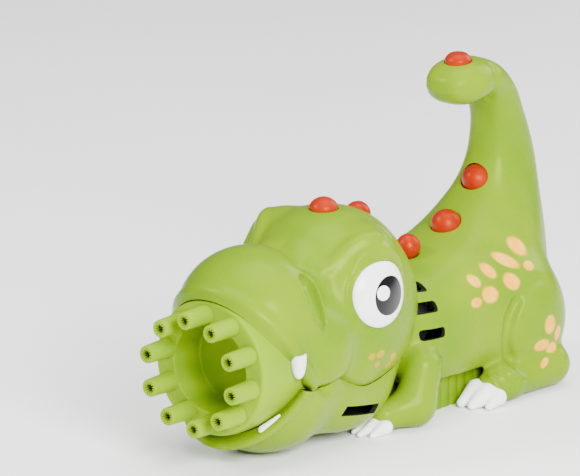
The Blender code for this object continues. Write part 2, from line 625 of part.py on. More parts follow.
add("blower_housing", turn([(9.2, 4), (10.6, 4), (10.6, FAN_Y0), (FAN_R, FAN_Y0), (FAN_R, FAN_Y1), (11, FAN_Y1),
                            (11, FAN_Y1 - 1.4), (FAN_R - 1.4, FAN_Y1 - 1.4),
                            (FAN_R - 1.4, FAN_Y0 + 1.4), (9.2, FAN_Y0 + 1.4)],
                           (0, 0, FAN_Z), n=20), BLACK)
impeller = add("impeller", turn([(1.05, 20), (3.4, 20), (3.4, 31.2), (17.2, 31.2), (17.2, 32.6),
                                 (1.05, 32.6)],
                                (0, 0, FAN_Z), n=24), GREY, (0, 26.5, FAN_Z))
blades = []
for k in range(9):
    a = 2 * math.pi * (k + 0.37) / 9
    c, s = math.cos(a), math.sin(a)
    v, f = box((2.6, 20.6, -0.5), (16.6, 31.9, 0.5))
    blades.append(([(c * x - s * z, y, FAN_Z + s * x + c * z) for x, y, z in v], f))
boolean(impeller, joined(*blades), "UNION")
tidy(impeller)
add("motor_shaft", turn([(0, 20.4), (1, 20.4), (1, 49.6), (0, 49.6)], (0, 0, FAN_Z), n=12),
    STEEL, (0, 26.5, FAN_Z))
add("motor", turn([(0, 50), (1.3, 50), (1.3, 38.5), (3, 38.5), (3, 40.5), (10, 40.5), (10, 65),
                   (8.5, 66), (0, 66)],
                  (0, 0, FAN_Z), n=20), STEEL)
bracket = add("motor_bracket", turn([(10.3, 44), (12, 44), (12, 58), (10.3, 58)], (0, 0, FAN_Z), n=20), GREY)
legs = []
for k in range(3):
    a = math.radians(90 + 120 * k)
    c, s = math.cos(a), math.sin(a)
    v, f = box((11, FAN_Y1 + 0.3, -2), (14.5, 57, 2))
    legs.append(([(c * x - s * z, y, FAN_Z + s * x + c * z) for x, y, z in v], f))
boolean(bracket, joined(*legs), "UNION")

# ---- belly pan and batteries --------------------------------------------------------------------
pan = add("belly_pan", box((-PAN_X, PAN_Y0, 0), (PAN_X, PAN_Y1, PAN_TOP)), GREEN)
boolean(pan, box((-BAY_X, BAY_Y0, -2), (BAY_X, BAY_Y1, BAY_TOP)))
boolean(pan, box((-PAN_X + 2, PAN_Y0 + 2, BAY_TOP + 2), (PAN_X - 2, PAN_Y1 - 2, PAN_TOP + 3)))


def door_outline(grow):
    x, y0, y1, tab = BAY_X + 1.0 + grow, BAY_Y0 - 1.5 - grow, BAY_Y1 + 1.2 + grow, 5 + grow
    return [(-x, y0), (x, y0), (x, y1), (tab, y1), (tab, y1 + 4.6), (-tab, y1 + 4.6), (-tab, y1), (-x, y1)]


boolean(pan, prism(door_outline(0.4), -2, DOOR_Z1 + 0.3))
boolean(pan, box((-BAY_X - 1.4, BAY_Y0 - 4.6, -2), (BAY_X + 1.4, BAY_Y0 + 4, 4.2)))
boolean(pan, turn([(0, 0.5), (1.5, 0.5), (1.5, 15), (0, 15)], (0, 82.9, 0), "Z", 12))
tidy(pan)
door = add("battery_door", prism(door_outline(0), DOOR_Z0, DOOR_Z1), GREEN, (0, HINGE_Y, HINGE_Z))
boolean(door, turn([(0, -2), (2.9, -2), (2.9, 1.7), (1.5, 1.7), (1.5, 5), (0, 5)], (0, 82.9, 0), "Z", 12))
tidy(door)


add("battery_door_screw", turn([(0, 0.4), (2.4, 0.4), (2.5, 1.4), (1.1, 1.4), (1.1, 13.5), (0, 13.5)],
                               (0, 82.9, 0), "Z", 12), STEEL, (0, HINGE_Y, HINGE_Z))
for k, (x, flip) in enumerate(((-CELL_PITCH, False), (0, True), (CELL_PITCH, False)), 1):
    profile = [(0, 0), (CELL_R, 0), (CELL_R, 49.2), (2.7, 49.2), (2.7, CELL_LEN), (0, CELL_LEN)]
    start, end = (28.0, 78.5) if not flip else (72.0, 21.5)
    step = -1 if flip else 1
    add(f"battery_{k}", turn([(r, start + step * t) for r, t in profile], (x, 0, CELL_Z), n=16), BLACK)
    spring = (21.5, 27.7) if not flip else (72.3, 78.5)
    add(f"contact_spring_{k}", coil(x, CELL_Z, *spring, 3.6, 2.4, 3, 0.35, "Y", 7, 4), STEEL)
for name, y in (("contact_plate_front", 20.75), ("contact_plate_rear", 78.75)):
    add(name, box((-21.5, y, 4.5), (21.5, y + 0.5, 17)), STEEL)

# ---- tail button --------------------------------------------------------------------------------
add("tail_button", turn([(0, 170.0), (2.0, 170.0), (2.0, 174.0), (8.6, 174.0), (8.6, 175.4), (BUTTON_R, 175.4),
                         (BUTTON_R, 184.2), (6.6, 186.4), (4.4, 187.9), (0, 188.6)], (0, KNOB_Y, 0), "Z", 20),
    ORANGE, (0, KNOB_Y, 175.4))
add("button_spring", coil(0, KNOB_Y, 164.9, 173.7, 5.6, 5.6, 3.5, 0.45, "Z", 10, 4), STEEL,
    (0, KNOB_Y, 164.9))
switch = add("tail_switch", box((-3, KNOB_Y - 3, 164.7), (3, KNOB_Y + 3, 167.2)), BLACK)
boolean(switch, turn([(0, 166.5), (1.6, 166.5), (1.6, 167.9), (0, 167.9)], (0, KNOB_Y, 0), "Z", 12),
        "UNION", "EXACT")
add("switch_bracket", turn([(0, 163.2), (6.9, 163.2), (6.9, 164.4), (0, 164.4)], (0, KNOB_Y, 0), "Z", 16),
    GREY)

# ---- screws and leads ---------------------------------------------------------------------------
for group, field, places in (("body", body, SCREWS_BODY), ("head", skull, SCREWS_HEAD)):
    for k, (y, z) in enumerate(places, 1):
        x = casing_x(field, y, z)
        name = f"{group}_screw_{k}"
        add(name, turn([(0, 5.8), (1.1, 5.8), (1.1, -3.3), (2.4, -3.3), (2.4, -4.9), (1.6, -5.6), (0, -5.6)],
                       (0, y, z), "X", 12), STEEL)

LEADS = {
    "lead_battery_to_switch": [(12, 72, 24.5), (14, 84, 34), (12, 102, 54), (6, 114, 84), (4, 120, 110),
                               (4, 123, 130), (4, 119.5, 148), (4, 114, 160.5), (4, 104, 168), (4, 97, 167.5)],
    "lead_switch_to_motor": [(-4, 97, 167.5), (-4, 104, 168), (-4, 114, 160.5), (-4, 119.5, 148),
                             (-4, 122, 134), (-4, 119, 110), (-6, 112, 84), (-6, 96, 62), (-4, 80, 52),
                             (-3.5, 66.5, 49.5)],
    "lead_battery_to_motor": [(-12, 68, 24.5), (-10, 74, 32), (-2, 74, 42), (3.5, 66.5, 47)],
}
for name, points in LEADS.items():
    add(name, wire(curve(points, 2), 0.7, 6), COPPER if name.endswith("battery_to_motor") else BLACK)
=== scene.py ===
"""Visual model of a hand-held dinosaur bubble machine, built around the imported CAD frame.

Lengths are millimetres until add() writes the meshes in metres.  X is the toy's left, it looks
along -Y, Z is up and it stands on Z = 0.  The casings are smooth distance fields meshed on a fine
grid, moved onto the field and then hollowed, split and opened.  Everything else is turned, swept
or extruded.
"""
import math

import bmesh
import bpy
import numpy as np
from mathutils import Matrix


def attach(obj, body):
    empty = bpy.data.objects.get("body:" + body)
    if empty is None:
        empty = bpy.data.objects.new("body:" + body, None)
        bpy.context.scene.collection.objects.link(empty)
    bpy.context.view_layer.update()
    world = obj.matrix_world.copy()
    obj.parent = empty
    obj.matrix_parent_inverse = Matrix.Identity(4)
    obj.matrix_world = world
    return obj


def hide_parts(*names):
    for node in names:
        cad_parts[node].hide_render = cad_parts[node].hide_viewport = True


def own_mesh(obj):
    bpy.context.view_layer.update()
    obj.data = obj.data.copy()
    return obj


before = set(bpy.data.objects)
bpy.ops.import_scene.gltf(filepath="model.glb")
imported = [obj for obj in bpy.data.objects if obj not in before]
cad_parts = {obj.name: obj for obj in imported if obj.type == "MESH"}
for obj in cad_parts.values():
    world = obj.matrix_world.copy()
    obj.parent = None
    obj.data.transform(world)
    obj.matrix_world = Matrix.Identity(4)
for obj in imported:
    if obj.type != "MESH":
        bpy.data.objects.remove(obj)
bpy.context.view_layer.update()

# ---- driving dimensions ----
WALL = 2.2            # moulded wall of every casing
SEAM = 0.02           # each casing half stops this far from X = 0
GAP = 0.5             # clearance between a casing and what fits into it
CELL = 1.25           # mesh grid of the casings' outside
CELL_IN = 3.0         # mesh grid of the casings' inside

RING_Z = 56.0         # height of the nozzle ring axis
RING_R = 30.0         # nozzle circle
NOZZLES = 10
NOZZLE_TURN = 95.9    # angle of one nozzle from +X, degrees
TIP_Y = -145.0        # nozzle tips
MUZZLE_Y = -127.0     # front face of the muzzle
MUZZLE_R = 37.5
MUZZLE_BACK = -88.0
NOZZLE_R, BORE_R = 4.9, 2.1

FAN_Z = 49.5          # blower axis height
PAN_X, PAN_Y0, PAN_Y1, PAN_TOP = 26.0, 13.0, 87.0, 24.0
BAY_X, BAY_Y0, BAY_Y1, BAY_TOP = 22.3, 20.5, 79.5, 18.6
CELL_R, CELL_LEN, CELL_PITCH, CELL_Z = 7.1, 50.5, 14.8, 10.6
DOOR_Z0, DOOR_Z1 = 0.3, 2.7
DOOR_SCREW_Y = 82.9

KNOB_Y = 86.4         # tail button axis
BUTTON_R = 7.4
SPRING_Z0, SPRING_Z1 = 164.9, 173.7     # foot and top of the button's spring

# torso and tail: outline in the YZ plane, and a spine of (y, z, half depth, half width)
BODY_UPPER = [(-4, 50), (4, 68), (20, 76), (40, 81), (58, 86), (74, 92), (86, 100), (97, 110),
              (103, 121), (106, 133), (107, 146), (103.5, 156), (96, 160), (84, 159), (74, 162),
              (69, 168.5)]
BODY_LOWER = [(-4, 40), (0, 26), (18, 12), (50, 7), (90, 8), (120, 15), (136, 34), (142, 55),
              (144.5, 78), (145, 100), (144.5, 113), (143, 124), (139.5, 136), (134, 149),
              (127, 163), (116, 175), (104, 181.5), (90, 183.5), (78, 181.5), (70.5, 176),
              (69, 168.5)]
BODY_SPINE = [(0, 44, 18, 26), (20, 46, 28, 36), (50, 48, 32, 40), (80, 52, 36, 41),
              (105, 66, 36, 38), (113, 84, 36, 32), (117, 98, 30, 25), (121, 112, 24, 18.5),
              (123.5, 124, 20, 16), (123, 135, 16.5, 14.5), (120, 147, 13.5, 14),
              (113, 160, 12.5, 14.5), (102, 169, 11.5, 16.5), (88, 171.5, 12, 18),
              (74, 171, 9, 13)]
TAIL_BORE = [(0, 117, 98), (0, 121, 112), (0, 123, 124), (0, 123, 135), (0, 120, 148),
             (0, 113.5, 161.5), (0, 102.5, 170.5), (0, 90, 172)]
TAIL_BORE_R = 7.0
CHEEK = [(-130, 46), (-100, 45), (-88, 42.5), (-78, 42), (-66, 44), (-55, 39), (-43, 34),
         (-30, 33), (-18, 35), (0, 40), (25, 46)]     # height of the head to jaw line along Y

LIP_TOP_Y, LIP_RAKE = -119.0, 0.62     # front edge of the upper lip, and its slope back
JAW_LIP_Y, JAW_LIP_Z, JAW_RAKE = -119.0, 12.0, 0.78    # front edge of the lower lip
JAW_LIP_R = 43.6                       # radius of the lower lip's roll about the ring axis
JAW_MOUTH_R = 38.7                     # mouth opening in the jaw
BELLY_Z = 19.5                         # flat underside of the torso, above the belly pan
JAW_TOP = 58.0                         # the jaw's solid ends above its seam with the head

# orange studs on the ridge line: (y, z, half width, half height, lean about X)
STUDS = {"head_stud_front": (-30.0, 125.0, 8.0, 6.0, 0),
         "head_stud_rear": (0.0, 116.0, 7.0, 6.0, -30),
         "back_stud_front": (43.0, 86.8, 7.0, 7.4, 12),
         "back_stud_middle": (76.0, 92.8, 8.6, 8.0, 28),
         "back_stud_rear": (104.6, 111.2, 9.4, 10.6, 62)}
# neck air slots on each side: (start, end along Y, height, half width, inner end along X)
VENTS = [(13, 28.5, 48.5, 3.0, 14), (8, 26.5, 62.8, 2.9, 14), (6, 26.5, 72.3, 2.2, 12), (24, 31, 79, 1.4, 5)]
JAW_SLOT = [(-59.8, 20.5), (-29.7, 15.2), (-26.6, 20.2), (-57.0, 25.8)]   # (y, z) corners, each side
SCREWS_BODY = [(60, 66), (118, 60), (132.5, 112)]        # (y, z), driven from the right
SCREWS_HEAD = [(-75, 100), (-10, 100)]
POST_R = 3.6          # radius of the screw posts
EYE = dict(centre=(-36.0, 85.5), semi=(19.0, 18.2))
TEETH_UPPER = (40.6, -100.8, 62.5, 4.3, 10.8)     # x, y, z of the root, radius, length
TEETH_LOWER = ((25.2, -111.0, 22.0), (31.9, -107.0, 30.4), 3.6, 1.2)    # root, tip and their radii
# claws on the left feet: root, tip, radius at the root and at the tip
HIND_TOES = [((35, 60, 7), (33.5, 48.5, 2.8), 6.8, 2.7), ((41.5, 60.5, 6.5), (40.8, 48.5, 2.8), 6.4, 2.7),
             ((47.5, 62.5, 5.2), (48.4, 54, 2.4), 5.0, 2.4)]
FRONT_TOES = [((22.5, -18, 4.2), (20.5, -29, 1.6), 4.3, 1.4), ((28, -19, 4.6), (26.5, -31.5, 1.6), 4.5, 1.4),
              ((33.5, -18, 4.2), (33, -29, 1.6), 4.3, 1.4)]

# printed spots on both flanks: (y, z, half length, half height, turn in degrees)
BODY_SPOTS = [(97.5, 80.9, 6.6, 4.6, -35), (84.9, 76.0, 8.4, 3.4, -28), (70.0, 73.2, 5.3, 3.6, -35),
              (57.2, 70.3, 4.4, 3.2, -30), (82.3, 65.6, 5.5, 4.6, -20), (65.3, 61.6, 6.4, 4.8, -10),
              (53.9, 59.5, 4.4, 2.8, 0), (98.3, 71.0, 4.0, 2.5, 0), (104.4, 37.9, 5.0, 5.6, 0),
              (98.7, 27.2, 6.0, 3.5, 0), (107.3, 24.0, 5.0, 3.2, 0), (112.6, 31.0, 3.4, 4.6, 0),
              (99.3, 17.1, 4.2, 1.8, 30)]
CHEEK_SPOTS = [(-41.8, 51.4, 3.0, 1.9, 0), (-34.7, 51.3, 3.6, 2.4, 0), (-21.4, 46.3, 4.2, 2.6, -35),
               (-36.5, 45.6, 2.3, 1.7, 0), (-24.3, 42.2, 3.4, 2.0, 0)]

# sculpted lines, on the left side and mirrored: points (x, y, z)
BROW_FOLD = [(-2, -69, 112.5), (11.4, -72.6, 111.2), (20.5, -75.1, 107.8), (24, -68, 103.5)]
BROW_RIDGE = [(25, -63, 102), (27.2, -57.5, 103.4), (30.4, -48.5, 110.5), (34.7, -40.9, 115.2),
              (38.3, -32.5, 116.3)]
SOCKET_RIDGE = [(38.4, -52, 99.0), (38.6, -45, 107.5), (42.1, -34.5, 110.6), (43.2, -23.8, 106.2),
                (41.4, -14.7, 96.5)]
NOSTRIL = ((32.0, -83, 98.2), (41.8, -83.5, 79.8), 7.4, 4.8)       # hollow: start, end and their radii
NOSTRIL_EDGE = [(31.5, -91, 101.5), (36.8, -93, 93), (40.4, -92, 84), (42.7, -87, 76)]
THIGH_TOP = [(43.2, 103, 62), (43.6, 91.4, 61.2), (43.7, 82.7, 53.8), (43.2, 77.5, 45.4)]
THIGH_FOLD = [(43.7, 82.7, 53.8), (43.2, 77.5, 45.4), (42.1, 76.1, 34.1), (41.4, 79.7, 23.7),
              (47.9, 80.4, 18.2), (50.5, 86, 15.5)]
KNOB_FOLD = [(11.7, 101.5, 179.7), (15.2, 100, 176.9), (17, 99.5, 171.6), (15.6, 99.2, 165.8),
             (8.9, 102.1, 159.2)]
HOCK_FOLDS = [[(37.9, 62.6, 16.0), (42.3, 60.6, 14.4), (45.7, 60.7, 11.6)],
              [(41.3, 66.1, 17.8), (46.0, 65.5, 15.1), (49.1, 67.7, 11.2)],
              [(44.2, 70.3, 19.1), (48.6, 70.9, 15.5), (51.1, 74.7, 11.2)]]


# ---- fields ----
def blend(a, b, k):
    """Smooth union of two distance fields."""
    h = np.maximum(k - np.abs(a - b), 0) / k
    return np.minimum(a, b) - h * h * k * 0.25


def ellipsoid(p, centre, semi, tilt=0.0):
    """Distance field of an ellipsoid leaned by tilt degrees about X."""
    c, s = math.cos(math.radians(tilt)), math.sin(math.radians(tilt))
    x, y, z = p[0] - centre[0], p[1] - centre[1], p[2] - centre[2]
    y, z = c * y + s * z, c * z - s * y
    k0 = np.sqrt((x / semi[0]) ** 2 + (y / semi[1]) ** 2 + (z / semi[2]) ** 2)
    k1 = np.sqrt((x / semi[0] ** 2) ** 2 + (y / semi[1] ** 2) ** 2 + (z / semi[2] ** 2) ** 2)
    return k0 * (k0 - 1) / (k1 + 1e-9)


def limb(p, a, b, ra, rb):
    """Distance field of a round limb that runs from a to b and changes radius."""
    a, d = np.array(a, float), np.array(b, float) - np.array(a, float)
    x, y, z = p[0] - a[0], p[1] - a[1], p[2] - a[2]
    t = np.clip((x * d[0] + y * d[1] + z * d[2]) / (d @ d), 0, 1)
    return np.sqrt((x - t * d[0]) ** 2 + (y - t * d[1]) ** 2 + (z - t * d[2]) ** 2) - (ra + (rb - ra) * t)


def curve(points, n=6):
    """Catmull-Rom curve through the points."""
    q = np.array(points, float)
    q = np.vstack([2 * q[0] - q[1], q, 2 * q[-1] - q[-2]])
    out = []
    for i in range(1, len(q) - 2):
        for t in np.arange(n) / n:
            out.append(0.5 * (2 * q[i] + (q[i + 1] - q[i - 1]) * t
                              + (2 * q[i - 1] - 5 * q[i] + 4 * q[i + 1] - q[i + 2]) * t * t
                              + (3 * q[i] - q[i - 1] - 3 * q[i + 1] + q[i + 2]) * t ** 3))
    return np.array(out + [q[-2]])


def loft(p, upper, lower, spine, power=2.4):
    """Distance field of a body given by its outline in the YZ plane and a spine of sections."""
    poly = np.vstack([curve(upper), curve(lower)[::-1]])
    y, z = np.broadcast_arrays(p[1], p[2])
    near, inside = np.full(y.shape, 1e9), np.zeros(y.shape, bool)
    for a, b in zip(poly, np.roll(poly, -1, axis=0)):
        d = b - a
        t = np.clip(((y - a[0]) * d[0] + (z - a[1]) * d[1]) / max(d @ d, 1e-9), 0, 1)
        near = np.minimum(near, np.hypot(y - a[0] - t * d[0], z - a[1] - t * d[1]))
        inside ^= ((a[1] > z) != (b[1] > z)) & (y < d[0] * (z - a[1]) / (d[1] + 1e-12) + a[0])
    flat = np.where(inside, -near, near)
    total, depth, half = 1e-12, 0.0, 0.0
    for q in curve(spine):
        w = 1 / ((y - q[0]) ** 2 + (z - q[1]) ** 2 + 9) ** 2
        total, depth, half = total + w, depth + w * q[2], half + w * q[3]
    half = half / total
    depth = np.maximum(depth / total, -flat)
    u, w = np.maximum(1 + flat / depth, 1e-4), np.abs(p[0]) / half
    k = (u ** power + w ** power) ** (1 / power)
    slope = np.sqrt(((u / k) ** (power - 1) / depth) ** 2 + ((w / k) ** (power - 1) / half) ** 2)
    return (k - 1) / slope


def sculpt(f, p, points, width, height):
    """Raise the surface by height along a line of points, or sink it where height is negative."""
    path = curve(points, 4)
    low, high = path.min(0) - 3 * width, path.max(0) + 3 * width
    f = np.array(np.broadcast_to(f, np.broadcast(*p).shape))
    near = np.ones(f.shape, bool)
    for axis in range(3):
        near &= (p[axis] > low[axis]) & (p[axis] < high[axis])
    q = [np.broadcast_to(a, f.shape)[near] for a in p]
    away = np.full(len(q[0]), 1e9)
    for a, b in zip(path, path[1:]):
        away = np.minimum(away, limb(q, a, b, 0, 0))
    f[near] -= height * np.exp(-(away / width) ** 2)
    return f


def mirrored(p):
    return (np.abs(p[0]), p[1], p[2])


def body(p):
    """Torso, tail, knob, hips, hind feet and front legs, cut flat at the floor."""
    q = mirrored(p)
    f = np.maximum(loft(p, BODY_UPPER, BODY_LOWER, BODY_SPINE), BELLY_Z - p[2])
    f = blend(f, ellipsoid(q, (34, 103, 38), (17, 29, 31), 12), 14)
    foot = blend(limb(q, (42, 114, 12), (40, 76, 10), 12, 10),
                 limb(q, (40, 76, 10), (40, 66, 8.5), 10, 8.5), 6)
    f = blend(f, foot, 5)
    arm = blend(limb(q, (34.5, 13, 31), (35.5, 5, 12), 11, 10.5),
                limb(q, (35.5, 5, 12), (29, -13, 8.5), 10.5, 8), 6)
    return np.maximum(blend(f, arm, 8), -p[2])


def body_fine(p):
    """The body with the folds round its thighs, hocks and tail knob."""
    q = mirrored(p)
    f = sculpt(body(p), q, THIGH_TOP, 3.2, -1.5)
    f = sculpt(f, q, THIGH_FOLD, 3.2, -2.8)
    f = sculpt(f, q, KNOB_FOLD, 2.2, -1.8)
    for fold in HOCK_FOLDS:
        f = sculpt(f, q, fold, 1.6, -1.3)
    return np.maximum(f, -p[2])


def skull(p):
    """Whole head above the jaw, before the mouth is cut."""
    q = mirrored(p)
    f = blend(ellipsoid(p, (0, -91.3, 75.9), (42, 41, 40.4)), ellipsoid(p, (0, -28, 68), (46, 55.5, 54)), 10)
    f = blend(f, ellipsoid(p, (0, -28, 96), (40, 36, 28)), 8)
    f = blend(f, ellipsoid(q, (29, -30, 104), (15, 17, 16), -15), 7)
    f = blend(f, ellipsoid(q, (30, -72, 60), (17, 24, 24)), 8)
    f = blend(f, ellipsoid(q, (23, -43, 47), (19, 27, 22)), 6)
    f = blend(f, ellipsoid(q, (26, -34, 84), (23, 28, 28)), 6)
    f = blend(f, ellipsoid(p, (0, -66, 92), (26, 26, 18)), 8)
    rim = np.hypot(p[0], p[2] - RING_Z) - (MUZZLE_R + 3.6)
    ahead = (p[1] - LIP_TOP_Y - (RING_Z + MUZZLE_R - p[2]) * LIP_RAKE) * 0.83
    return blend(f, np.hypot(rim, ahead) - 3.4, 5)


def skull_fine(p):
    """The skull with brow fold and ridge, eye socket, nostrils and a softened cheek line."""
    q = mirrored(p)
    f = sculpt(skull(p), q, BROW_FOLD, 5.5, -4.2)
    f = sculpt(f, q, BROW_RIDGE, 3.6, 2.4)
    f = sculpt(f, q, SOCKET_RIDGE, 2.3, 1.5)
    f = -blend(-f, limb(q, *NOSTRIL), 1.2)
    f = sculpt(f, q, NOSTRIL_EDGE, 2.0, 1.8)
    (y, z), (long, high) = EYE["centre"], EYE["semi"]
    eye = np.hypot((p[1] - y) / (long + 2), (p[2] - z) / (high + 2))
    f = f + 0.8 * np.exp(-((eye - 1) / 0.05) ** 2) * (np.abs(p[0]) > 20)
    return f + 1.4 * np.exp(-(np.maximum(p[2] - cheek(p[1]), 0) / 1.8) ** 2) * (np.abs(p[0]) > 20)


def cheek(y):
    line = curve(CHEEK)
    return np.interp(y, line[:, 0], line[:, 1])


def chin(p):
    """Whole lower jaw with its rolled lip, before its top is cut."""
    f = blend(ellipsoid(p, (0, -44, 48), (43, 66, 43)), ellipsoid(p, (0, -84, 38), (42.5, 40, 37.5)), 8)
    f = blend(f, ellipsoid(mirrored(p), (22, -40, 26), (17, 34, 20)), 8)
    ahead = (p[1] - JAW_LIP_Y - (p[2] - JAW_LIP_Z) * JAW_RAKE) / math.hypot(1, JAW_RAKE)
    f = np.maximum(f, -ahead)
    rim = np.hypot(p[0], p[2] - RING_Z) - JAW_LIP_R
    f = np.maximum(blend(f, np.hypot(rim, ahead) - 3.0, 4), 0.6 - p[2])
    return np.maximum(f, p[2] - JAW_TOP)


def chin_fine(p):
    """The jaw tucked in under the cheeks, which overhang it."""
    below = np.maximum(cheek(p[1]) - p[2], 0)
    ahead = np.clip((-90 - p[1]) / 8, 0, 1)
    tuck = skull(p) + 1.1 - 0.8 * below - 30 * ahead
    return -blend(-chin(p), -tuck, 3)


def claws(p, side, toes):
    """Three toes that share one root."""
    f = None
    for root, tip, wide, thin in toes:
        e = limb(p, (side * root[0], *root[1:]), (side * tip[0], *tip[1:]), wide, thin)
        f = e if f is None else blend(f, e, 2.2)
    return np.maximum(f, -p[2])


# ---- meshes ----
def unfold(f, cell):
    """Fill the grid squares whose corners alternate in and out, where two sheets would share an edge."""
    for _ in range(12):
        changed = False
        for u, v in ((0, 1), (1, 2), (0, 2)):
            g = np.moveaxis(f, (u, v), (0, 1))
            a, b, c, d = g[:-1, :-1], g[1:, :-1], g[:-1, 1:], g[1:, 1:]
            for p, q, r, s in ((a, d, b, c), (b, c, a, d)):
                twin = (p < 0) & (q < 0) & (r >= 0) & (s >= 0)
                if twin.any():
                    changed = True
                    near = twin & (r <= s)
                    r[near] = -0.05 * cell
                    s[twin & ~near] = -0.05 * cell
        if not changed:
            break
    return f


def settle(field, verts, level, reach):
    """Move the vertices onto field = level along its gradient, by at most reach."""
    step = 0.02
    value = field(verts.T) - level
    slope = np.stack([field((verts + step * axis).T) - field((verts - step * axis).T)
                      for axis in np.eye(3)], 1) / (2 * step)
    size = np.maximum((slope ** 2).sum(1), 0.2)
    move = -(value / size)[:, None] * slope
    length = np.linalg.norm(move, axis=1)[:, None]
    return verts + move * np.minimum(1, reach / (length + 1e-9))


def skin(field, lo, hi, cell, level=0.0, polish=0):
    """Closed quad mesh of field = level inside the box lo..hi (surface nets)."""
    n = [int(math.ceil((b - a) / cell)) + 1 for a, b in zip(lo, hi)]
    lo = [(a + b) / 2 - cell * (k - 1) / 2 for a, b, k in zip(lo, hi, n)]
    axes = [a + cell * np.arange(k) for a, k in zip(lo, n)]
    f = field((axes[0][:, None, None], axes[1][None, :, None], axes[2][None, None, :])) - level
    f = unfold(np.array(np.broadcast_to(f, n)), cell)
    inside = f < 0
    corners = [(i, j, k) for i in (0, 1) for j in (0, 1) for k in (0, 1)]
    count = sum(inside[i:n[0] - 1 + i, j:n[1] - 1 + j, k:n[2] - 1 + k].astype(np.int8) for i, j, k in corners)
    active = (count > 0) & (count < 8)
    cells = np.argwhere(active)
    index = np.full(active.shape, -1)
    index[active] = np.arange(len(cells))
    value = {c: f[tuple((cells + c).T)] for c in corners}
    total, hits = np.zeros((len(cells), 3)), np.zeros(len(cells))
    for a in corners:
        for axis in range(3):
            if a[axis]:
                continue
            b = tuple(1 if k == axis else a[k] for k in range(3))
            cross = (value[a] < 0) != (value[b] < 0)
            t = np.where(cross, value[a] / np.where(cross, value[a] - value[b], 1), 0)
            point = np.tile(np.array(a, float), (len(cells), 1))
            point[:, axis] = t
            total += point * cross[:, None]
            hits += cross
    verts = np.array(lo) + cell * (cells + total / hits[:, None])
    for _ in range(polish):
        verts = settle(field, verts, level, 0.45 * cell)
    faces = []
    for axis in range(3):
        u, v = (axis + 1) % 3, (axis + 2) % 3
        first = np.take(inside, np.arange(n[axis] - 1), axis)
        edges = np.argwhere(first != np.take(inside, np.arange(1, n[axis]), axis))
        edges = edges[(edges[:, u] > 0) & (edges[:, v] > 0)
                      & (edges[:, u] < n[u] - 1) & (edges[:, v] < n[v] - 1)]
        ring = []
        for du, dv in ((-1, -1), (0, -1), (0, 0), (-1, 0)):
            c = edges.copy()
            c[:, u] += du
            c[:, v] += dv
            ring.append(index[tuple(c.T)])
        ring = np.stack(ring, 1)
        flip = ~first[tuple(edges.T)]
        ring[flip] = ring[flip][:, ::-1]
        faces += [tuple(r) for r in ring.tolist()]
    return verts.tolist(), faces


def box(lo, hi):
    (a, b, c), (d, e, f) = lo, hi
    v = [(a, b, c), (d, b, c), (d, e, c), (a, e, c), (a, b, f), (d, b, f), (d, e, f), (a, e, f)]
    return v, [(3, 2, 1, 0), (4, 5, 6, 7), (0, 1, 5, 4), (1, 2, 6, 5), (2, 3, 7, 6), (3, 0, 4, 7)]


def prism(outline, lo, hi, axis="Z"):
    """Outline of two coordinates extruded along the axis, from lo to hi."""
    n = len(outline)
    place = {"Z": lambda a, b, t: (a, b, t), "X": lambda a, b, t: (t, a, b),
             "Y": lambda a, b, t: (a, t, b)}[axis]
    v = [place(a, b, t) for t in (lo, hi) for a, b in outline]
    return v, [tuple(range(n))[::-1], tuple(range(n, 2 * n))] + [
        (i, (i + 1) % n, n + (i + 1) % n, n + i) for i in range(n)]


def rounded(x0, y0, x1, y1, r, n=6):
    """Outline of a rectangle with round corners."""
    out = []
    for k, (x, y) in enumerate(((x1 - r, y1 - r), (x0 + r, y1 - r), (x0 + r, y0 + r), (x1 - r, y0 + r))):
        out += [(x + r * math.cos(math.pi / 2 * (k + i / n)), y + r * math.sin(math.pi / 2 * (k + i / n)))
                for i in range(n + 1)]
    return out


def turn(profile, centre, axis="Y", n=48):
    """Closed profile of (radius, position along the axis) turned round the axis."""
    v, ids = [], []
    for r, t in profile:
        row = []
        for k in range(n if r > 1e-6 else 1):
            a = 2 * math.pi * k / n
            u, w = r * math.cos(a), r * math.sin(a)
            x, y, z = {"X": (t, u, w), "Y": (u, t, w), "Z": (u, w, t)}[axis]
            row.append(len(v))
            v.append((x + centre[0], y + centre[1], z + centre[2]))
        ids.append(row if r > 1e-6 else row * n)
    faces = []
    for a, b in zip(ids, ids[1:] + ids[:1]):
        for k in range(n):
            face = [a[k], a[(k + 1) % n], b[(k + 1) % n], b[k]]
            face = [q for i, q in enumerate(face) if q not in face[:i]]
            if len(face) > 2:
                faces.append(tuple(face))
    return v, faces


def fillet(profile, radii, n=5):
    """Round the corners of a closed profile; radii holds the radius at each corner's index."""
    out = []
    for i, q in enumerate(profile):
        r = radii.get(i, 0)
        if not r:
            out.append(q)
            continue
        q, a, b = (np.array(t, float) for t in (q, profile[i - 1], profile[(i + 1) % len(profile)]))
        u, w = (a - q) / np.linalg.norm(a - q), (b - q) / np.linalg.norm(b - q)
        half = math.acos(max(-1, min(1, u @ w))) / 2
        cut = r / math.tan(half)
        hub = q + (u + w) / np.linalg.norm(u + w) * r / math.sin(half)
        start, end = q + u * cut - hub, q + w * cut - hub
        for k in range(n + 1):
            t = k / n
            d = start * (1 - t) + end * t
            out.append(tuple(hub + d / np.linalg.norm(d) * r))
    return out


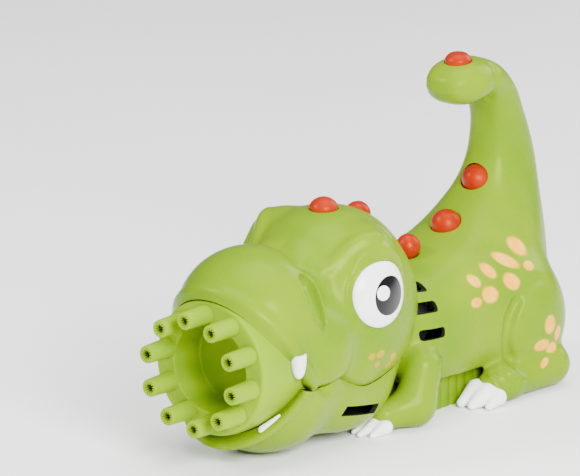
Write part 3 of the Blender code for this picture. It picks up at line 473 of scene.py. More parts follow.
def wire(points, r, n=12):
    """Round wire swept along points."""
    q = np.array(points, float)
    d = np.gradient(q, axis=0)
    d /= np.linalg.norm(d, axis=1)[:, None]
    up = np.array([0.0, 0.0, 1.0]) if abs(d[0][2]) < 0.9 else np.array([1.0, 0.0, 0.0])
    v, faces = [], []
    for p, t in zip(q, d):
        up = up - t * (up @ t)
        up /= np.linalg.norm(up)
        side = np.cross(t, up)
        v += [tuple(p + r * (math.cos(2 * math.pi * k / n) * up + math.sin(2 * math.pi * k / n) * side))
              for k in range(n)]
    for i in range(len(q) - 1):
        faces += [(i * n + k, i * n + (k + 1) % n, (i + 1) * n + (k + 1) % n, (i + 1) * n + k)
                  for k in range(n)]
    last = (len(q) - 1) * n
    return v, faces + [tuple(range(n))[::-1], tuple(last + k for k in range(n))]


def joined(*solids):
    """Several closed solids in one mesh, for use as one cutter."""
    v, f = [], []
    for verts, faces in solids:
        f += [tuple(i + len(v) for i in face) for face in faces]
        v += list(verts)
    return v, f


def add(name, solid):
    """Object from a solid in millimetres."""
    verts, faces = solid
    mesh = bpy.data.meshes.new(name)
    mesh.from_pydata([[a / 1000 for a in p] for p in verts], [], faces)
    bm = bmesh.new()
    bm.from_mesh(mesh)
    bmesh.ops.recalc_face_normals(bm, faces=bm.faces)
    bm.to_mesh(mesh)
    bm.free()
    obj = bpy.data.objects.new(name, mesh)
    bpy.context.scene.collection.objects.link(obj)
    return obj


def boolean(obj, solid, operation="DIFFERENCE"):
    """Cut a solid from obj, or join it on, and keep the result as obj's own mesh."""
    tool = add("tool", solid)
    modifier = obj.modifiers.new("cut", "BOOLEAN")
    modifier.operation, modifier.solver, modifier.object = operation, "MANIFOLD", tool
    bpy.context.view_layer.update()
    result = bpy.data.meshes.new_from_object(obj.evaluated_get(bpy.context.evaluated_depsgraph_get()))
    obj.modifiers.clear()
    old, obj.data = obj.data, result
    bpy.data.meshes.remove(old)
    bpy.data.meshes.remove(tool.data)
    result.name = obj.name


def tidy(obj):
    """Drop the crumbs that cuts leave beside the main body."""
    bm = bmesh.new()
    bm.from_mesh(obj.data)
    left, bodies = set(bm.verts), []
    while left:
        stack = [left.pop()]
        found = set(stack)
        while stack:
            for edge in stack.pop().link_edges:
                for vert in edge.verts:
                    if vert in left:
                        left.remove(vert)
                        found.add(vert)
                        stack.append(vert)
        bodies.append(found)
    bodies.sort(key=len, reverse=True)
    for crumb in bodies[1:]:
        bmesh.ops.delete(bm, geom=list(crumb), context="VERTS")
    bm.to_mesh(obj.data)
    bm.free()
    return obj


def finish(obj, slot, material, *nodes, body_name="casing", angle=38):
    """Shade, paint and place a piece, and hide the CAD nodes that it stands for."""
    tidy(obj)
    obj.data.shade_smooth()
    obj.data.set_sharp_from_angle(angle=math.radians(angle))
    obj.data.materials.clear()
    obj.data.materials.append(material)
    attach(obj, body_name)
    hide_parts(*nodes)
    return obj


def paint_inside_shade(obj, field):
    """Painted shade: near-black colour on the faces inside the wall, which show only through the slots and
    gaps, where the green inside lies in shade.
    """
    centres = np.array([f.center for f in obj.data.polygons]) * 1000
    obj.data.materials.append(INSIDE_SHADE)
    for face, depth in zip(obj.data.polygons, field(centres.T)):
        face.material_index = int(depth < -0.5)


def surface_x(field, y, z, side):
    """X of the field's surface on one side, at the given y and z."""
    low, high = np.full(y.shape, 4.0), np.full(y.shape, 70.0)
    for _ in range(30):
        mid = (low + high) / 2
        inside = field((side * mid, y, z)) < 0
        low, high = np.where(inside, mid, low), np.where(inside, high, mid)
    return side * low


def pad(field, side, centre, semi, rise, depth, n=96, rings=14):
    """Lens that follows the field's surface: an ellipse in the YZ plane, proud by rise, sunk by depth."""
    v, rows = [], []
    layers = [(k / rings, rise * math.sqrt(max(0, 1 - (k / rings) ** 2.6))) for k in range(rings + 1)]
    layers += [(k / rings, -depth) for k in range(rings, -1, -2)]
    for k, lift in layers:
        angle = 2 * math.pi * np.arange(n if k else 1) / n
        y, z = centre[0] + k * semi[0] * np.cos(angle), centre[1] + k * semi[1] * np.sin(angle)
        x = surface_x(field, y, z, side) + side * lift
        rows.append([len(v) + i for i in range(len(y))] if k else [len(v)] * n)
        v += [tuple(q) for q in np.stack([x, y, z], 1).tolist()]
    faces = []
    for a, b in zip(rows, rows[1:]):
        for i in range(n):
            face = [a[i], a[(i + 1) % n], b[(i + 1) % n], b[i]]
            faces.append(tuple(q for j, q in enumerate(face) if q not in face[:j]))
    return v, faces


def stud(y, z, half, height, lean, grow=0.0, n=48, rows=20, power=2.0):
    """Ellipsoid stud on the ridge line, leaned about X; a higher power makes it squarer."""
    profile = []
    for k in range(rows + 1):
        a = math.pi * k / rows
        u, w = math.sin(a), math.cos(a)
        r = (abs(u) ** power + abs(w) ** power) ** (-1 / power)
        profile.append(((half + grow) * r * u, (height + grow) * r * w))
    profile[0], profile[-1] = (0, height + grow), (0, -height - grow)
    v, faces = turn(profile, (0, 0, 0), "Z", n)
    c, s = math.cos(math.radians(lean)), math.sin(math.radians(lean))
    return [(a, y + c * b - s * d, z + s * b + c * d) for a, b, d in v], faces


# ---- materials ----
class Paint:
    """Builds one node material; object coordinates are in metres."""

    def __init__(self, name):
        self.material = bpy.data.materials.new(name)
        self.material.use_nodes = True
        self.tree = self.material.node_tree
        self.shader = self.tree.nodes["Principled BSDF"]
        self.place = self.node("ShaderNodeTexCoord").outputs["Object"]

    def node(self, kind, **values):
        made = self.tree.nodes.new(kind)
        for key, value in values.items():
            setattr(made, key, value)
        return made

    def link(self, a, b):
        self.tree.links.new(a, b)

    def noise(self, scale, detail=3.0, rough=0.55):
        n = self.node("ShaderNodeTexNoise")
        n.inputs["Scale"].default_value = scale
        n.inputs["Detail"].default_value = detail
        n.inputs["Roughness"].default_value = rough
        self.link(self.place, n.inputs["Vector"])
        return n.outputs["Fac"]

    def spread(self, value, low, high, start=0.3, end=0.7):
        """Carry value, from start to end, smoothly over to low to high."""
        m = self.node("ShaderNodeMapRange", interpolation_type="SMOOTHSTEP")
        for key, number in (("From Min", start), ("From Max", end), ("To Min", low), ("To Max", high)):
            m.inputs[key].default_value = number
        self.link(value, m.inputs["Value"])
        return m.outputs["Result"]

    def mix(self, fac, a, b):
        """Mix two colours; each is a tuple or a socket."""
        m = self.node("ShaderNodeMix", data_type="RGBA")
        self.link(fac, m.inputs["Factor"])
        for value, socket in ((a, m.inputs["A"]), (b, m.inputs["B"])):
            sockets = [s for s in m.inputs if s.name == socket.name and s.type == "RGBA"]
            if isinstance(value, tuple):
                sockets[0].default_value = (*value, 1)
            else:
                self.link(value, sockets[0])
        return next(s for s in m.outputs if s.type == "RGBA")

    def math(self, operation, a, b):
        m = self.node("ShaderNodeMath", operation=operation)
        for value, socket in ((a, m.inputs[0]), (b, m.inputs[1])):
            if isinstance(value, (int, float)):
                socket.default_value = value
            else:
                self.link(value, socket)
        return m.outputs[0]

    def ellipse(self, y, z, half, height, degrees, start, end):
        """Mask: 1 inside an ellipse of the YZ plane, given in millimetres, feathered from start to end."""
        m = self.node("ShaderNodeMapping", vector_type="TEXTURE")
        m.inputs["Location"].default_value = (0, y / 1000, z / 1000)
        m.inputs["Rotation"].default_value = (math.radians(degrees), 0, 0)
        m.inputs["Scale"].default_value = (1000, half / 1000, height / 1000)
        self.link(self.place, m.inputs["Vector"])
        length = self.node("ShaderNodeVectorMath", operation="LENGTH")
        self.link(m.outputs["Vector"], length.inputs[0])
        return self.spread(length.outputs["Value"], 1.0, 0.0, start, end)

    def surface(self, colour, roughness, bump=None, strength=0.1, distance=0.0003, **fixed):
        """Fill the shader: colour and roughness sockets, a bump height, and values set on its own sockets."""
        self.link(colour, self.shader.inputs["Base Color"])
        self.link(roughness, self.shader.inputs["Roughness"])
        if bump is not None:
            b = self.node("ShaderNodeBump")
            b.inputs["Strength"].default_value = strength
            b.inputs["Distance"].default_value = distance
            self.link(bump, b.inputs["Height"])
            self.link(b.outputs["Normal"], self.shader.inputs["Normal"])
        for key, value in fixed.items():
            self.shader.inputs[key.replace("_", " ")].default_value = value
        return self.material


def plastic(name, light, deep, rough=0.3, coat=0.2, spots=(), spot_light=(0.88, 0.46, 0.05),
            spot_deep=(0.86, 0.33, 0.01), tint=(1, 1, 1, 1)):
    """Moulded plastic: soft colour drift, fine grain, small gloss variation and printed spots."""
    p = Paint(name)
    drift = p.spread(p.noise(22.0, 2.0), 0.0, 1.0, 0.25, 0.75)
    colour = p.mix(drift, deep, light)
    if spots:
        mask = None
        for y, z, half, height, degrees in spots:
            one = p.ellipse(y, z, half, height, degrees, 0.72, 1.12)
            mask = one if mask is None else p.math("MAXIMUM", mask, one)
        ink = p.mix(p.spread(p.noise(160.0, 2.0), 0.0, 1.0), spot_deep, spot_light)
        colour = p.mix(p.math("MULTIPLY", mask, 0.9), colour, ink)
    gloss = p.spread(p.noise(75.0, 4.0), rough - 0.05, rough + 0.07)
    return p.surface(colour, gloss, p.noise(1400.0, 2.0), 0.12, 0.0002,
                     Coat_Weight=coat, Coat_Roughness=0.15, Specular_Tint=tint, Specular_IOR_Level=0.12)


def metal(name, light, deep, rough=0.32):
    """Plated metal with fine brushed grain and darker smudges."""
    p = Paint(name)
    colour = p.mix(p.spread(p.noise(90.0, 4.0), 0.0, 1.0), deep, light)
    gloss = p.spread(p.noise(140.0, 4.0), rough - 0.08, rough + 0.12)
    return p.surface(colour, gloss, p.noise(500.0, 5.0, 0.7), 0.15, 0.0002, Metallic=1.0)


def orange_stud(name, y, z, half, height, lean):
    """Orange-red stud, paler towards its foot."""
    p = Paint(name)
    base = p.mix(p.spread(p.noise(60.0, 3.0), 0.0, 1.0), (0.25, 0.010, 0.0), (0.29, 0.015, 0.0))
    c, s = math.cos(math.radians(lean)), math.sin(math.radians(lean))
    crown = p.ellipse(y - s * height * 0.8, z + c * height * 0.8, half * 1.5, height * 1.5, lean, 0.55, 1.25)
    colour = p.mix(crown, (0.35, 0.032, 0.0), base)
    gloss = p.spread(p.noise(110.0, 4.0), 0.3, 0.42)
    return p.surface(colour, gloss, p.noise(1300.0, 2.0), 0.12, 0.0002, Specular_Tint=(1.0, 0.4, 0.2, 1.0),
                     Specular_IOR_Level=0.3)


def printed_eye(name):
    """White eye with a printed pupil and highlight, the same on both sides."""
    p = Paint(name)
    white = p.mix(p.spread(p.noise(40.0, 2.0), 0.0, 1.0), (0.86, 0.87, 0.86), (0.93, 0.93, 0.92))
    y, z = PUPIL[:2]
    iris = p.ellipse(y, z, *PUPIL[2:], 0, 0.975, 1.02)
    shade = p.ellipse(y + 7, z - 8, 17, 17, 0, 0.15, 1.0)
    ink = p.mix(shade, (0.005, 0.005, 0.006), (0.019, 0.019, 0.021))
    colour = p.mix(iris, white, ink)
    glint = p.ellipse(*GLINT, 0, 0.96, 1.03)
    colour = p.mix(glint, colour, (0.94, 0.94, 0.94))
    gloss = p.spread(p.noise(120.0, 3.0), 0.14, 0.22)
    return p.surface(colour, gloss, p.noise(900.0, 2.0), 0.04, 0.0002, Coat_Weight=0.05,
                     Coat_Roughness=0.1, Specular_IOR_Level=0.25)


PUPIL = (-33.8, 85.0, 11.2, 11.0)      # printed pupil: y, z, half width, half height
GLINT = (-39.2, 87.6, 4.5, 4.1)        # printed highlight

LIME, LIME_DEEP, SHEEN = (0.156, 0.250, 0.0), (0.110, 0.212, 0.0), (0.85, 1.0, 0.2, 1.0)
SHELL = plastic("shell_plastic", LIME, LIME_DEEP, 0.27, 0.0, tint=SHEEN)
BODY = plastic("body_plastic", LIME, LIME_DEEP, 0.27, 0.0, BODY_SPOTS, tint=SHEEN)
HEAD = plastic("head_plastic", LIME, LIME_DEEP, 0.27, 0.0, CHEEK_SPOTS, (0.42, 0.28, 0.004),
               (0.38, 0.22, 0.002), tint=SHEEN)
NOZZLE = plastic("nozzle_plastic", (0.185, 0.31, 0.0), (0.155, 0.28, 0.0), 0.36, 0.0, tint=SHEEN)
PAN = plastic("pan_plastic", (0.12, 0.22, 0.0), (0.095, 0.19, 0.0), 0.42, 0.0, tint=SHEEN)
# painted shade: near-black colour for the casings' inner faces, in place of the shade inside the slots and
# mouth gaps
INSIDE_SHADE = plastic("painted_inside_shade", (0.016, 0.02, 0.010), (0.008, 0.010, 0.006), 0.6, 0.0)
WHITE = plastic("white_plastic", (0.90, 0.90, 0.88), (0.82, 0.82, 0.80), 0.34, 0.15)
BLACK = plastic("black_plastic", (0.03, 0.03, 0.03), (0.014, 0.014, 0.014), 0.45, 0.05)
GREY = plastic("grey_plastic", (0.24, 0.24, 0.25), (0.17, 0.17, 0.18), 0.45, 0.05)
EYES = printed_eye("eye_print")
STEEL = metal("steel", (0.66, 0.66, 0.67), (0.45, 0.45, 0.47))
BRASS = metal("contact_plate", (0.72, 0.70, 0.62), (0.52, 0.50, 0.44), 0.28)

# ---- casings ----
BODY_BOX = ((-57.5, -34, -6), (57.5, 151, 190))
HEAD_BOX = ((-54, -138, 2), (54, 34, 132))
JAW_BOX = ((-54, -128, -6), (54, 34, 63))
HALVES = {"left": box((-90, -200, -20), (SEAM, 200, 220)), "right": box((-SEAM, -200, -20), (90, 200, 220))}


def cylinder_y(r, y0, y1):
    return turn([(0, y0), (r, y0), (r, y1), (0, y1)], (0, 0, RING_Z), n=96)


def screw_post(half, y, z, wall_x):
    """Boss inside one half: it meets its twin at the seam."""
    near, far = (SEAM, wall_x) if half == "left" else (-wall_x, -SEAM)
    return turn([(0, near), (POST_R, near), (POST_R, far), (0, far)], (0, y, z), "X", 32)


def screw_bore(y, z, wall_x):
    """Stepped bore: pilot hole in the left post, clearance and head well in the right one."""
    return turn([(0, 6.5), (1.3, 6.5), (1.3, -3.0), (2.7, -3.0), (2.7, -wall_x + 1), (3.3, -wall_x - 1),
                 (3.3, -wall_x - 8), (0, -wall_x - 8)], (0, y, z), "X", 32)


def casing_x(field, y, z, r=0.0):
    """Least X of a casing's outside round a circle, so that a post of that radius stays inside it."""
    ring = np.radians(np.arange(0, 360, 45))
    return float(surface_x(field, y + r * np.cos(ring), z + r * np.sin(ring), 1).min())


def cheek_cut(shift, above):
    """Solid above or below the head to jaw line, shifted along Z."""
    line = [(y, z + shift) for y, z in curve(CHEEK)]
    edge = 300 if above else -100
    return prism([(-300, line[0][1])] + line + [(300, line[-1][1]), (300, edge), (-300, edge)], -90, 90, "X")


def tooth(x, y, z, r, length, grow=0.0):
    """Rounded cone that hangs from the lip."""
    rows = 14
    prof = [(0, -3 - grow), (r + grow, -3 - grow)]
    for k in range(rows):
        a = math.pi / 2 * k / rows
        prof.append(((r + grow) * math.cos(a) ** 0.9, (length + grow) * math.sin(a)))
    v, f = turn(prof + [(0, length + grow)], (x, y, z), "Z", 32)
    return [(a, b, 2 * z - c) for a, b, c in v], f


def lower_tooth(side, cell, grow=0.0):
    """Cone that stands in the mouth gap and leans along the lip."""
    root, tip, wide, thin = TEETH_LOWER
    x = sorted((side * 18, side * 38))
    return skin(lambda p: limb(p, (side * root[0], *root[1:]), (side * tip[0], *tip[1:]), wide, thin),
                (x[0], -116, 16), (x[1], -100, 36), cell, grow, polish=2)


def toe_box(side, toes):
    """Grid box round one foot's toes."""
    x = sorted((side * 10, side * 62))
    return (x[0], min(t[1][1] for t in toes) - 6, -4), (x[1], max(t[0][1] for t in toes) + 12, 18)


body_outside = skin(body_fine, *BODY_BOX, CELL, polish=2)
body_inside = skin(body_fine, *BODY_BOX, CELL_IN, -WALL)
for half in ("left", "right"):
    side = 1 if half == "left" else -1
    shell = add(f"visual_body_{half}", body_outside)
    boolean(shell, body_inside)
    boolean(shell, wire(curve(TAIL_BORE, 4), TAIL_BORE_R, 24))
    boolean(shell, stud(KNOB_Y + 0.4, 170.8, 13.0, 9.4, 0, n=32))
    boolean(shell, HALVES[half])
    for y, z in SCREWS_BODY:
        boolean(shell, screw_post(half, y, z, casing_x(body, y, z, POST_R) - 0.8), "UNION")
        boolean(shell, screw_bore(y, z, casing_x(body, y, z)))
    boolean(shell, prism(rounded(-PAN_X - GAP, PAN_Y0 - GAP, PAN_X + GAP, PAN_Y1 + GAP, 2), -5, PAN_TOP + 4))
    boolean(shell, turn([(0, -12), (15, -12), (15, 10), (0, 10)], (0, 0, FAN_Z)))
    boolean(shell, turn([(0, 176), (BUTTON_R + 0.4, 176), (BUTTON_R + 0.4, 200), (0, 200)],
                        (0, KNOB_Y, 0), "Z"))
    boolean(shell, joined(*[prism(rounded(y0, z - w, y1, z + w, w * 0.6), *sorted((side * x, side * 62)), "X")
                            for y0, y1, z, w, x in VENTS]))
    for name in ("back_stud_front", "back_stud_middle", "back_stud_rear"):
        boolean(shell, stud(*STUDS[name], grow=0.3))
    for label, toes in (("hind", HIND_TOES), ("front", FRONT_TOES)):
        boolean(shell, skin(lambda p: claws(p, side, toes), *toe_box(side, toes), 1.0, 0.3))
    finish(shell, "shell_green", BODY, f"body_shell_{half}")
    paint_inside_shade(shell, body_fine)
    for label, toes in (("hind", HIND_TOES), ("front", FRONT_TOES)):
        foot = add(f"visual_{label}_claws_{half}",
                   skin(lambda p: claws(p, side, toes), *toe_box(side, toes), 0.7, polish=2))
        finish(foot, "white_plastic", WHITE, f"{label}_claws_{half}", angle=50)

head_outside = skin(skull_fine, *HEAD_BOX, CELL, polish=2)
head_inside = skin(skull_fine, *HEAD_BOX, CELL_IN, -WALL)
keep_out = skin(body, *BODY_BOX, 3.0, GAP)
for half in ("left", "right"):
    side = 1 if half == "left" else -1
    shell = add(f"visual_head_{half}", head_outside)
    boolean(shell, head_inside)
    boolean(shell, cheek_cut(0, False))
    boolean(shell, HALVES[half])
    for y, z in SCREWS_HEAD:
        boolean(shell, screw_post(half, y, z, casing_x(skull, y, z, POST_R) - 0.8), "UNION")
        boolean(shell, screw_bore(y, z, casing_x(skull, y, z)))
    boolean(shell, cylinder_y(MUZZLE_R + 0.75, -160, -80))
    boolean(shell, keep_out)
    for name in ("head_stud_front", "head_stud_rear"):
        boolean(shell, stud(*STUDS[name], grow=0.3))
    x, y, z, r, length = TEETH_UPPER
    boolean(shell, pad(skull, side, EYE["centre"], [a + 0.4 for a in EYE["semi"]], 6.0, 1.4))
    boolean(shell, tooth(side * x, y, z, r, length, 0.3))
    finish(shell, "shell_green", HEAD, f"head_shell_{half}")
    paint_inside_shade(shell, skull_fine)
    finish(add(f"visual_eye_{half}", pad(skull, side, EYE["centre"], EYE["semi"], 1.3, 1.0)),
           "eye_print", EYES, f"eye_{half}", angle=60)
    finish(add(f"visual_tooth_upper_{half}", tooth(side * x, y, z, r, length)), "white_plastic", WHITE,
           f"tooth_upper_{half}")
    finish(add(f"visual_tooth_lower_{half}", lower_tooth(side, 0.5)), "white_plastic", WHITE,
           f"tooth_lower_{half}")

jaw_piece = add("visual_lower_jaw", skin(chin_fine, *JAW_BOX, CELL, polish=2))
boolean(jaw_piece, skin(chin_fine, *JAW_BOX, CELL_IN, -WALL))
boolean(jaw_piece, cheek_cut(-0.25, True))
boolean(jaw_piece, cylinder_y(JAW_MOUTH_R, -160, -80))
boolean(jaw_piece, keep_out)
for side in (1, -1):
    boolean(jaw_piece, lower_tooth(side, 0.7, 0.3))
    boolean(jaw_piece, prism(JAW_SLOT, *sorted((side * 20, side * 54)), "X"))
finish(jaw_piece, "shell_green", SHELL, "lower_jaw")
paint_inside_shade(jaw_piece, chin_fine)

for name, spec in STUDS.items():
    finish(add(f"visual_{name}", stud(*spec, power=1.8)), "stud_orange", orange_stud(f"{name}_orange", *spec),
           name, angle=60)

# ---- muzzle with its nozzles ----
cup = fillet([(0, -106), (24.4, -106), (24.9, MUZZLE_Y), (37.4, MUZZLE_Y), (38.1, -122), (38.1, MUZZLE_BACK),
              (35.3, MUZZLE_BACK), (35.0, -124.6), (28.2, -124.6), (28.2, -103.8), (0, -103.8)],
             {1: 1.2, 2: 1.0, 3: 2.0, 4: 3}, 6)
muzzle = add("visual_nozzle_head", turn(cup, (0, 0, RING_Z), n=128))
tubes, bores = [], []
for k in range(NOZZLES):
    a = math.radians(NOZZLE_TURN + 360 * k / NOZZLES)
    centre = (RING_R * math.cos(a), 0, RING_Z + RING_R * math.sin(a))
    tubes.append(turn(fillet([(0, TIP_Y), (NOZZLE_R, TIP_Y), (NOZZLE_R + 0.7, -125.5), (0, -125.5)],
                             {1: 0.6}, 4), centre, n=40))
    star = []
    for j in range(48):
        b = 2 * math.pi * j / 48
        r = BORE_R + (1.3 if j % 4 < 2 else 0.0)
        star.append((centre[0] + r * math.cos(b), centre[2] + r * math.sin(b)))
    bores.append(prism(star, TIP_Y - 2, -121, "Y"))
boolean(muzzle, joined(*tubes), "UNION")
boolean(muzzle, joined(*bores))
finish(muzzle, "nozzle_green", NOZZLE, "nozzle_head")

# ---- belly pan, door and batteries ----
pan = add("visual_belly_pan", prism(rounded(-PAN_X, PAN_Y0, PAN_X, PAN_Y1, 1.6), 0, PAN_TOP))
folds = [prism([(side * PAN_X, y - 1.3), (side * (PAN_X - 0.7), y), (side * PAN_X, y + 1.3),
                (side * (PAN_X + 2), y)], -1, PAN_TOP + 1) for side in (1, -1) for y in range(20, 84, 7)]
boolean(pan, joined(*folds))
boolean(pan, box((-BAY_X, BAY_Y0, -2), (BAY_X, BAY_Y1, BAY_TOP)))
boolean(pan, box((-PAN_X + 2, PAN_Y0 + 2, BAY_TOP + 2), (PAN_X - 2, PAN_Y1 - 2, PAN_TOP + 3)))


def door_outline(grow):
    x, y0, y1, tab = BAY_X + 1.0 + grow, BAY_Y0 - 1.5 - grow, BAY_Y1 + 1.2 + grow, 5 + grow
    return [(-x, y0), (x, y0), (x, y1), (tab, y1), (tab, y1 + 4.6), (-tab, y1 + 4.6), (-tab, y1), (-x, y1)]


boolean(pan, prism(door_outline(0.4), -2, DOOR_Z1 + 0.3))
boolean(pan, box((-BAY_X - 1.4, BAY_Y0 - 4.6, -2), (BAY_X + 1.4, BAY_Y0 + 4, 4.2)))
boolean(pan, turn([(0, 0.5), (1.5, 0.5), (1.5, 15), (0, 15)], (0, DOOR_SCREW_Y, 0), "Z", 32))
finish(pan, "pan_green", PAN, "belly_pan")

door = add("visual_battery_door", prism(door_outline(0), DOOR_Z0, DOOR_Z1))
boolean(door, turn([(0, -2), (2.9, -2), (2.9, 1.7), (1.5, 1.7), (1.5, 5), (0, 5)],
                   (0, DOOR_SCREW_Y, 0), "Z", 32))
boolean(door, joined(*[prism(rounded(x - 0.6, 30, x + 0.6, 70, 0.5, 3), -2, DOOR_Z0 + 0.5)
                       for x in range(-18, 19, 4)]))
finish(door, "pan_green", PAN, "battery_door", body_name="door")


def crossed_head(obj, centre, axis, r, depth):
    """Cross recess sunk into a screw head, from its outer face inwards along the axis."""
    for a in (0, math.pi / 2):
        c, s = math.cos(a), math.sin(a)
        flat = [(-r, -0.3), (r, -0.3), (r, 0.3), (-r, 0.3)]
        outline = [(c * u - s * w, s * u + c * w) for u, w in flat]
        x, y, start = centre if axis == "Z" else (*centre[1:], centre[0])
        boolean(obj, prism([(x + u, y + w) for u, w in outline], start - 3, start + depth, axis))


screw = add("visual_battery_door_screw",
            turn([(0, 0.4), (2.2, 0.4), (2.4, 0.6), (2.5, 1.4), (1.1, 1.4), (1.1, 13.0), (0.5, 13.5),
                  (0, 13.5)], (0, DOOR_SCREW_Y, 0), "Z", 32))
crossed_head(screw, (0, DOOR_SCREW_Y, 0.4), "Z", 1.4, 0.6)
finish(screw, "steel", STEEL, "battery_door_screw", body_name="door")

for group, places in (("body", SCREWS_BODY), ("head", SCREWS_HEAD)):
    for k, (y, z) in enumerate(places, 1):
        screw = add(f"visual_{group}_screw_{k}",
                    turn([(0, 5.8), (0.6, 5.8), (1.1, 5.0), (1.1, -3.3), (2.4, -3.3), (2.4, -4.9),
                          (2.1, -5.3), (1.6, -5.6), (0, -5.6)], (0, y, z), "X", 32))
        crossed_head(screw, (-5.6, y, z), "X", 1.4, 0.7)
        finish(screw, "steel", STEEL, f"{group}_screw_{k}")


def battery_wrap(name, start, step):
    """Foil sleeve: dark body, a paler band at the button end and a thin ring."""
    p = Paint(name)
    along = p.node("ShaderNodeSeparateXYZ")
    p.link(p.place, along.inputs["Vector"])
    t = p.math("MULTIPLY", p.math("SUBTRACT", along.outputs["Y"], start / 1000), 1000.0 * step)
    dark = p.mix(p.spread(p.noise(120.0, 3.0), 0.0, 1.0), (0.012, 0.014, 0.02), (0.03, 0.034, 0.045))
    colour = p.mix(p.spread(t, 0.0, 1.0, 34.9, 35.1), dark, (0.52, 0.28, 0.07))
    colour = p.mix(p.spread(t, 0.0, 1.0, 48.9, 49.1), colour, (0.62, 0.62, 0.63))
    gloss = p.spread(p.noise(90.0, 3.0), 0.24, 0.34)
    return p.surface(colour, gloss, p.noise(700.0, 2.0), 0.08, 0.0002, Coat_Weight=0.3)


def coil(x, z, y0, y1, r0, r1, turns, wire_r, axis="Y", steps=28, n=10):
    """Spring between y0 and y1, its ends closed flat."""
    pts = []
    count = int(turns * steps)
    for i in range(count + 1):
        f = i / count
        a, r = 2 * math.pi * turns * f, r0 + (r1 - r0) * f
        g = min(1.0, max(0.0, (f * turns - 0.5) / (turns - 1.0)))
        along = y0 + wire_r + (y1 - y0 - 2 * wire_r) * (0.9 * g + 0.1 * f)
        u, w = r * math.cos(a), r * math.sin(a)
        pts.append((x + u, z + w, along) if axis == "Z" else (x + u, along, z + w))
    return wire(pts, wire_r, n)


for k, (x, flip) in enumerate(((-CELL_PITCH, False), (0, True), (CELL_PITCH, False)), 1):
    profile = fillet([(0, 0), (CELL_R, 0), (CELL_R, 49.2), (2.7, 49.2), (2.7, CELL_LEN), (0, CELL_LEN)],
                     {1: 0.7, 2: 0.8, 4: 0.4}, 4)
    start, step = (72.0, -1) if flip else (28.0, 1)
    cell = turn([(r, start + step * t) for r, t in profile], (x, 0, CELL_Z), n=64)
    finish(add(f"visual_battery_{k}", cell),
           "battery_wrap", battery_wrap(f"battery_wrap_{k}", start, step), f"battery_{k}")
    spring = (72.3, 78.5) if flip else (21.5, 27.7)
    wide, thin = (2.4, 3.6) if flip else (3.6, 2.4)
    finish(add(f"visual_contact_spring_{k}", coil(x, CELL_Z, *spring, wide, thin, 4, 0.35)), "steel", STEEL,
           f"contact_spring_{k}", angle=60)

# ---- fan ----
hub = fillet([(1.05, 20), (3.4, 20), (3.4, 31.2), (17.2, 31.2), (17.2, 32.6), (1.05, 32.6)],
             {1: 0.6, 2: 0.8, 3: 0.5, 4: 0.5}, 4)
impeller = add("visual_impeller", turn(hub, (0, 0, FAN_Z), n=64))
blades = []
for k in range(9):
    start = 2 * math.pi * (k + 0.37) / 9
    inner, outer = [], []
    for i in range(9):
        r = 2.9 + (16.6 - 2.9) * i / 8
        a = start + 0.022 * (r - 2.9)
        for edge, away in ((inner, -0.45), (outer, 0.45)):
            edge.append((r * math.cos(a) - away * math.sin(a), FAN_Z + r * math.sin(a) + away * math.cos(a)))
    blades.append(prism(inner + outer[::-1], 20.6, 31.9, "Y"))
boolean(impeller, joined(*blades), "UNION")
finish(impeller, "grey_plastic", GREY, "impeller", body_name="fan")

# ---- tail button ----
cap = fillet([(0, 170.0), (2.0, 170.0), (2.0, 174.0), (8.6, 174.0), (8.6, 175.4), (BUTTON_R, 175.4),
              (BUTTON_R, 184.0), (5.6, 186.9), (0, 188.2)], {3: 0.3, 4: 0.3, 6: 1.6, 7: 5}, 8)
finish(add("visual_tail_button", turn(cap, (0, KNOB_Y, 0), "Z", 96)), "stud_orange",
       orange_stud("button_orange", KNOB_Y, 181, 8.5, 7.5, 0), "tail_button", body_name="button", angle=50)
spring = finish(add("visual_button_spring", coil(0, KNOB_Y, SPRING_Z0, SPRING_Z1, 5.6, 5.6, 3.5, 0.45, "Z")),
                "steel", STEEL, "button_spring", angle=60)
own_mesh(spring)     # a mesh of its own for the spring; the button travels 2 mm

# ---- carried-over CAD nodes ----
INK = (0.03, 0.03, 0.03), (0.012, 0.012, 0.012)
CARRIED = {
    "air_duct": BLACK, "blower_housing": BLACK, "motor": STEEL, "motor_bracket": GREY, "motor_shaft": STEEL,
    "tail_switch": BLACK, "switch_bracket": GREY, "contact_plate_front": BRASS, "contact_plate_rear": BRASS,
    "lead_battery_to_switch": plastic("lead_black", *INK, 0.5),
    "lead_switch_to_motor": plastic("lead_dark", *INK, 0.5),
    "lead_battery_to_motor": plastic("lead_red", (0.55, 0.03, 0.02), (0.4, 0.02, 0.015), 0.45)}
for name, material in CARRIED.items():
    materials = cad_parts[name].data.materials
    materials.clear()
    materials.append(material)

# ---- floor, camera and light ----
floor_paint = Paint("studio_floor")
paper = floor_paint.mix(floor_paint.spread(floor_paint.noise(2.0), 0.0, 1.0), (0.90,) * 3, (0.93,) * 3)
floor_paint.surface(paper, floor_paint.spread(floor_paint.noise(4.0), 0.55, 0.65))
floor = add("floor", box((-3000, -3000, -20), (3000, 3000, -0.05)))
floor.data.materials.append(floor_paint.material)

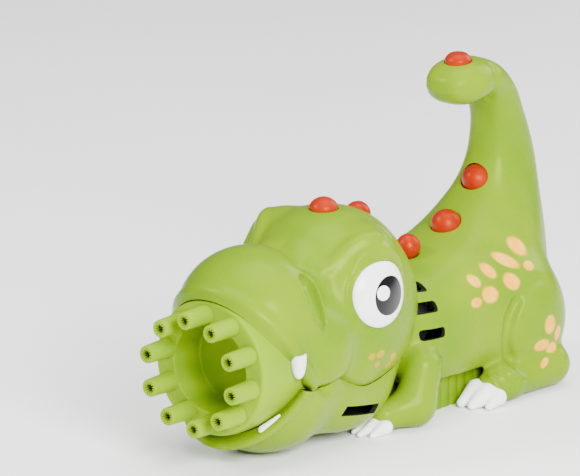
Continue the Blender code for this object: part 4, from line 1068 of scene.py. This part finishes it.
AZIMUTH, ELEVATION = math.radians(39.35), math.radians(15.92)
CAMERA_DISTANCE = 8.0          # metres; a long lens gives the flat perspective of a product picture
MID_DEPTH = 0.10               # how far the toy's middle lies behind its nozzle tips, in that direction
PICTURE_WIDTH = 0.31578        # how much of the toy's middle plane the picture takes in
AIM_RIGHT, AIM_UP = 0.05472, 0.07408     # the picture's middle, from the centre of the nozzle tips

# directions: back towards the camera, right and up in the picture
back = np.array([math.sin(AZIMUTH) * math.cos(ELEVATION), -math.cos(AZIMUTH) * math.cos(ELEVATION),
                 math.sin(ELEVATION)])
right = np.array([math.cos(AZIMUTH), math.sin(AZIMUTH), 0.0])
up = np.cross(back, right)
aim = np.array([0, TIP_Y, RING_Z]) / 1000 + right * AIM_RIGHT + up * AIM_UP
camera = bpy.data.objects.new("camera", bpy.data.cameras.new("camera"))
camera.data.sensor_width = 36.0
camera.data.lens = camera.data.sensor_width * CAMERA_DISTANCE / PICTURE_WIDTH
camera.data.clip_end = 50.0
camera.location = aim + back * (CAMERA_DISTANCE - MID_DEPTH)
camera.rotation_euler = (math.pi / 2 - ELEVATION, 0, AZIMUTH)
bpy.context.scene.collection.objects.link(camera)
bpy.context.scene.camera = camera


def softbox(name, place, size, power):
    """Square area light that faces the toy."""
    light = bpy.data.lights.new(name, "AREA")
    light.shape, light.size, light.energy = "SQUARE", size, power
    obj = bpy.data.objects.new(name, light)
    obj.location = place
    toward = np.array((0.0, 0.0, 0.07)) - np.array(place)
    toward = toward / np.linalg.norm(toward)
    obj.rotation_euler = (math.acos(-toward[2]), 0, math.atan2(-toward[0], toward[1]))
    bpy.context.scene.collection.objects.link(obj)


softbox("top", (0.1, 0.1, 1.6), 1.2, 32)
softbox("key", (1.25, -0.7, 0.8), 0.7, 78)
softbox("fill", (-0.9, -1.1, 1.1), 0.5, 26)
softbox("back", (0.3, 1.2, 0.8), 0.8, 14)
world = bpy.data.worlds.new("studio")
world.use_nodes = True
world.node_tree.nodes["Background"].inputs["Color"].default_value = (1, 1, 1, 1)
world.node_tree.nodes["Background"].inputs["Strength"].default_value = 0.28
bpy.context.scene.world = world
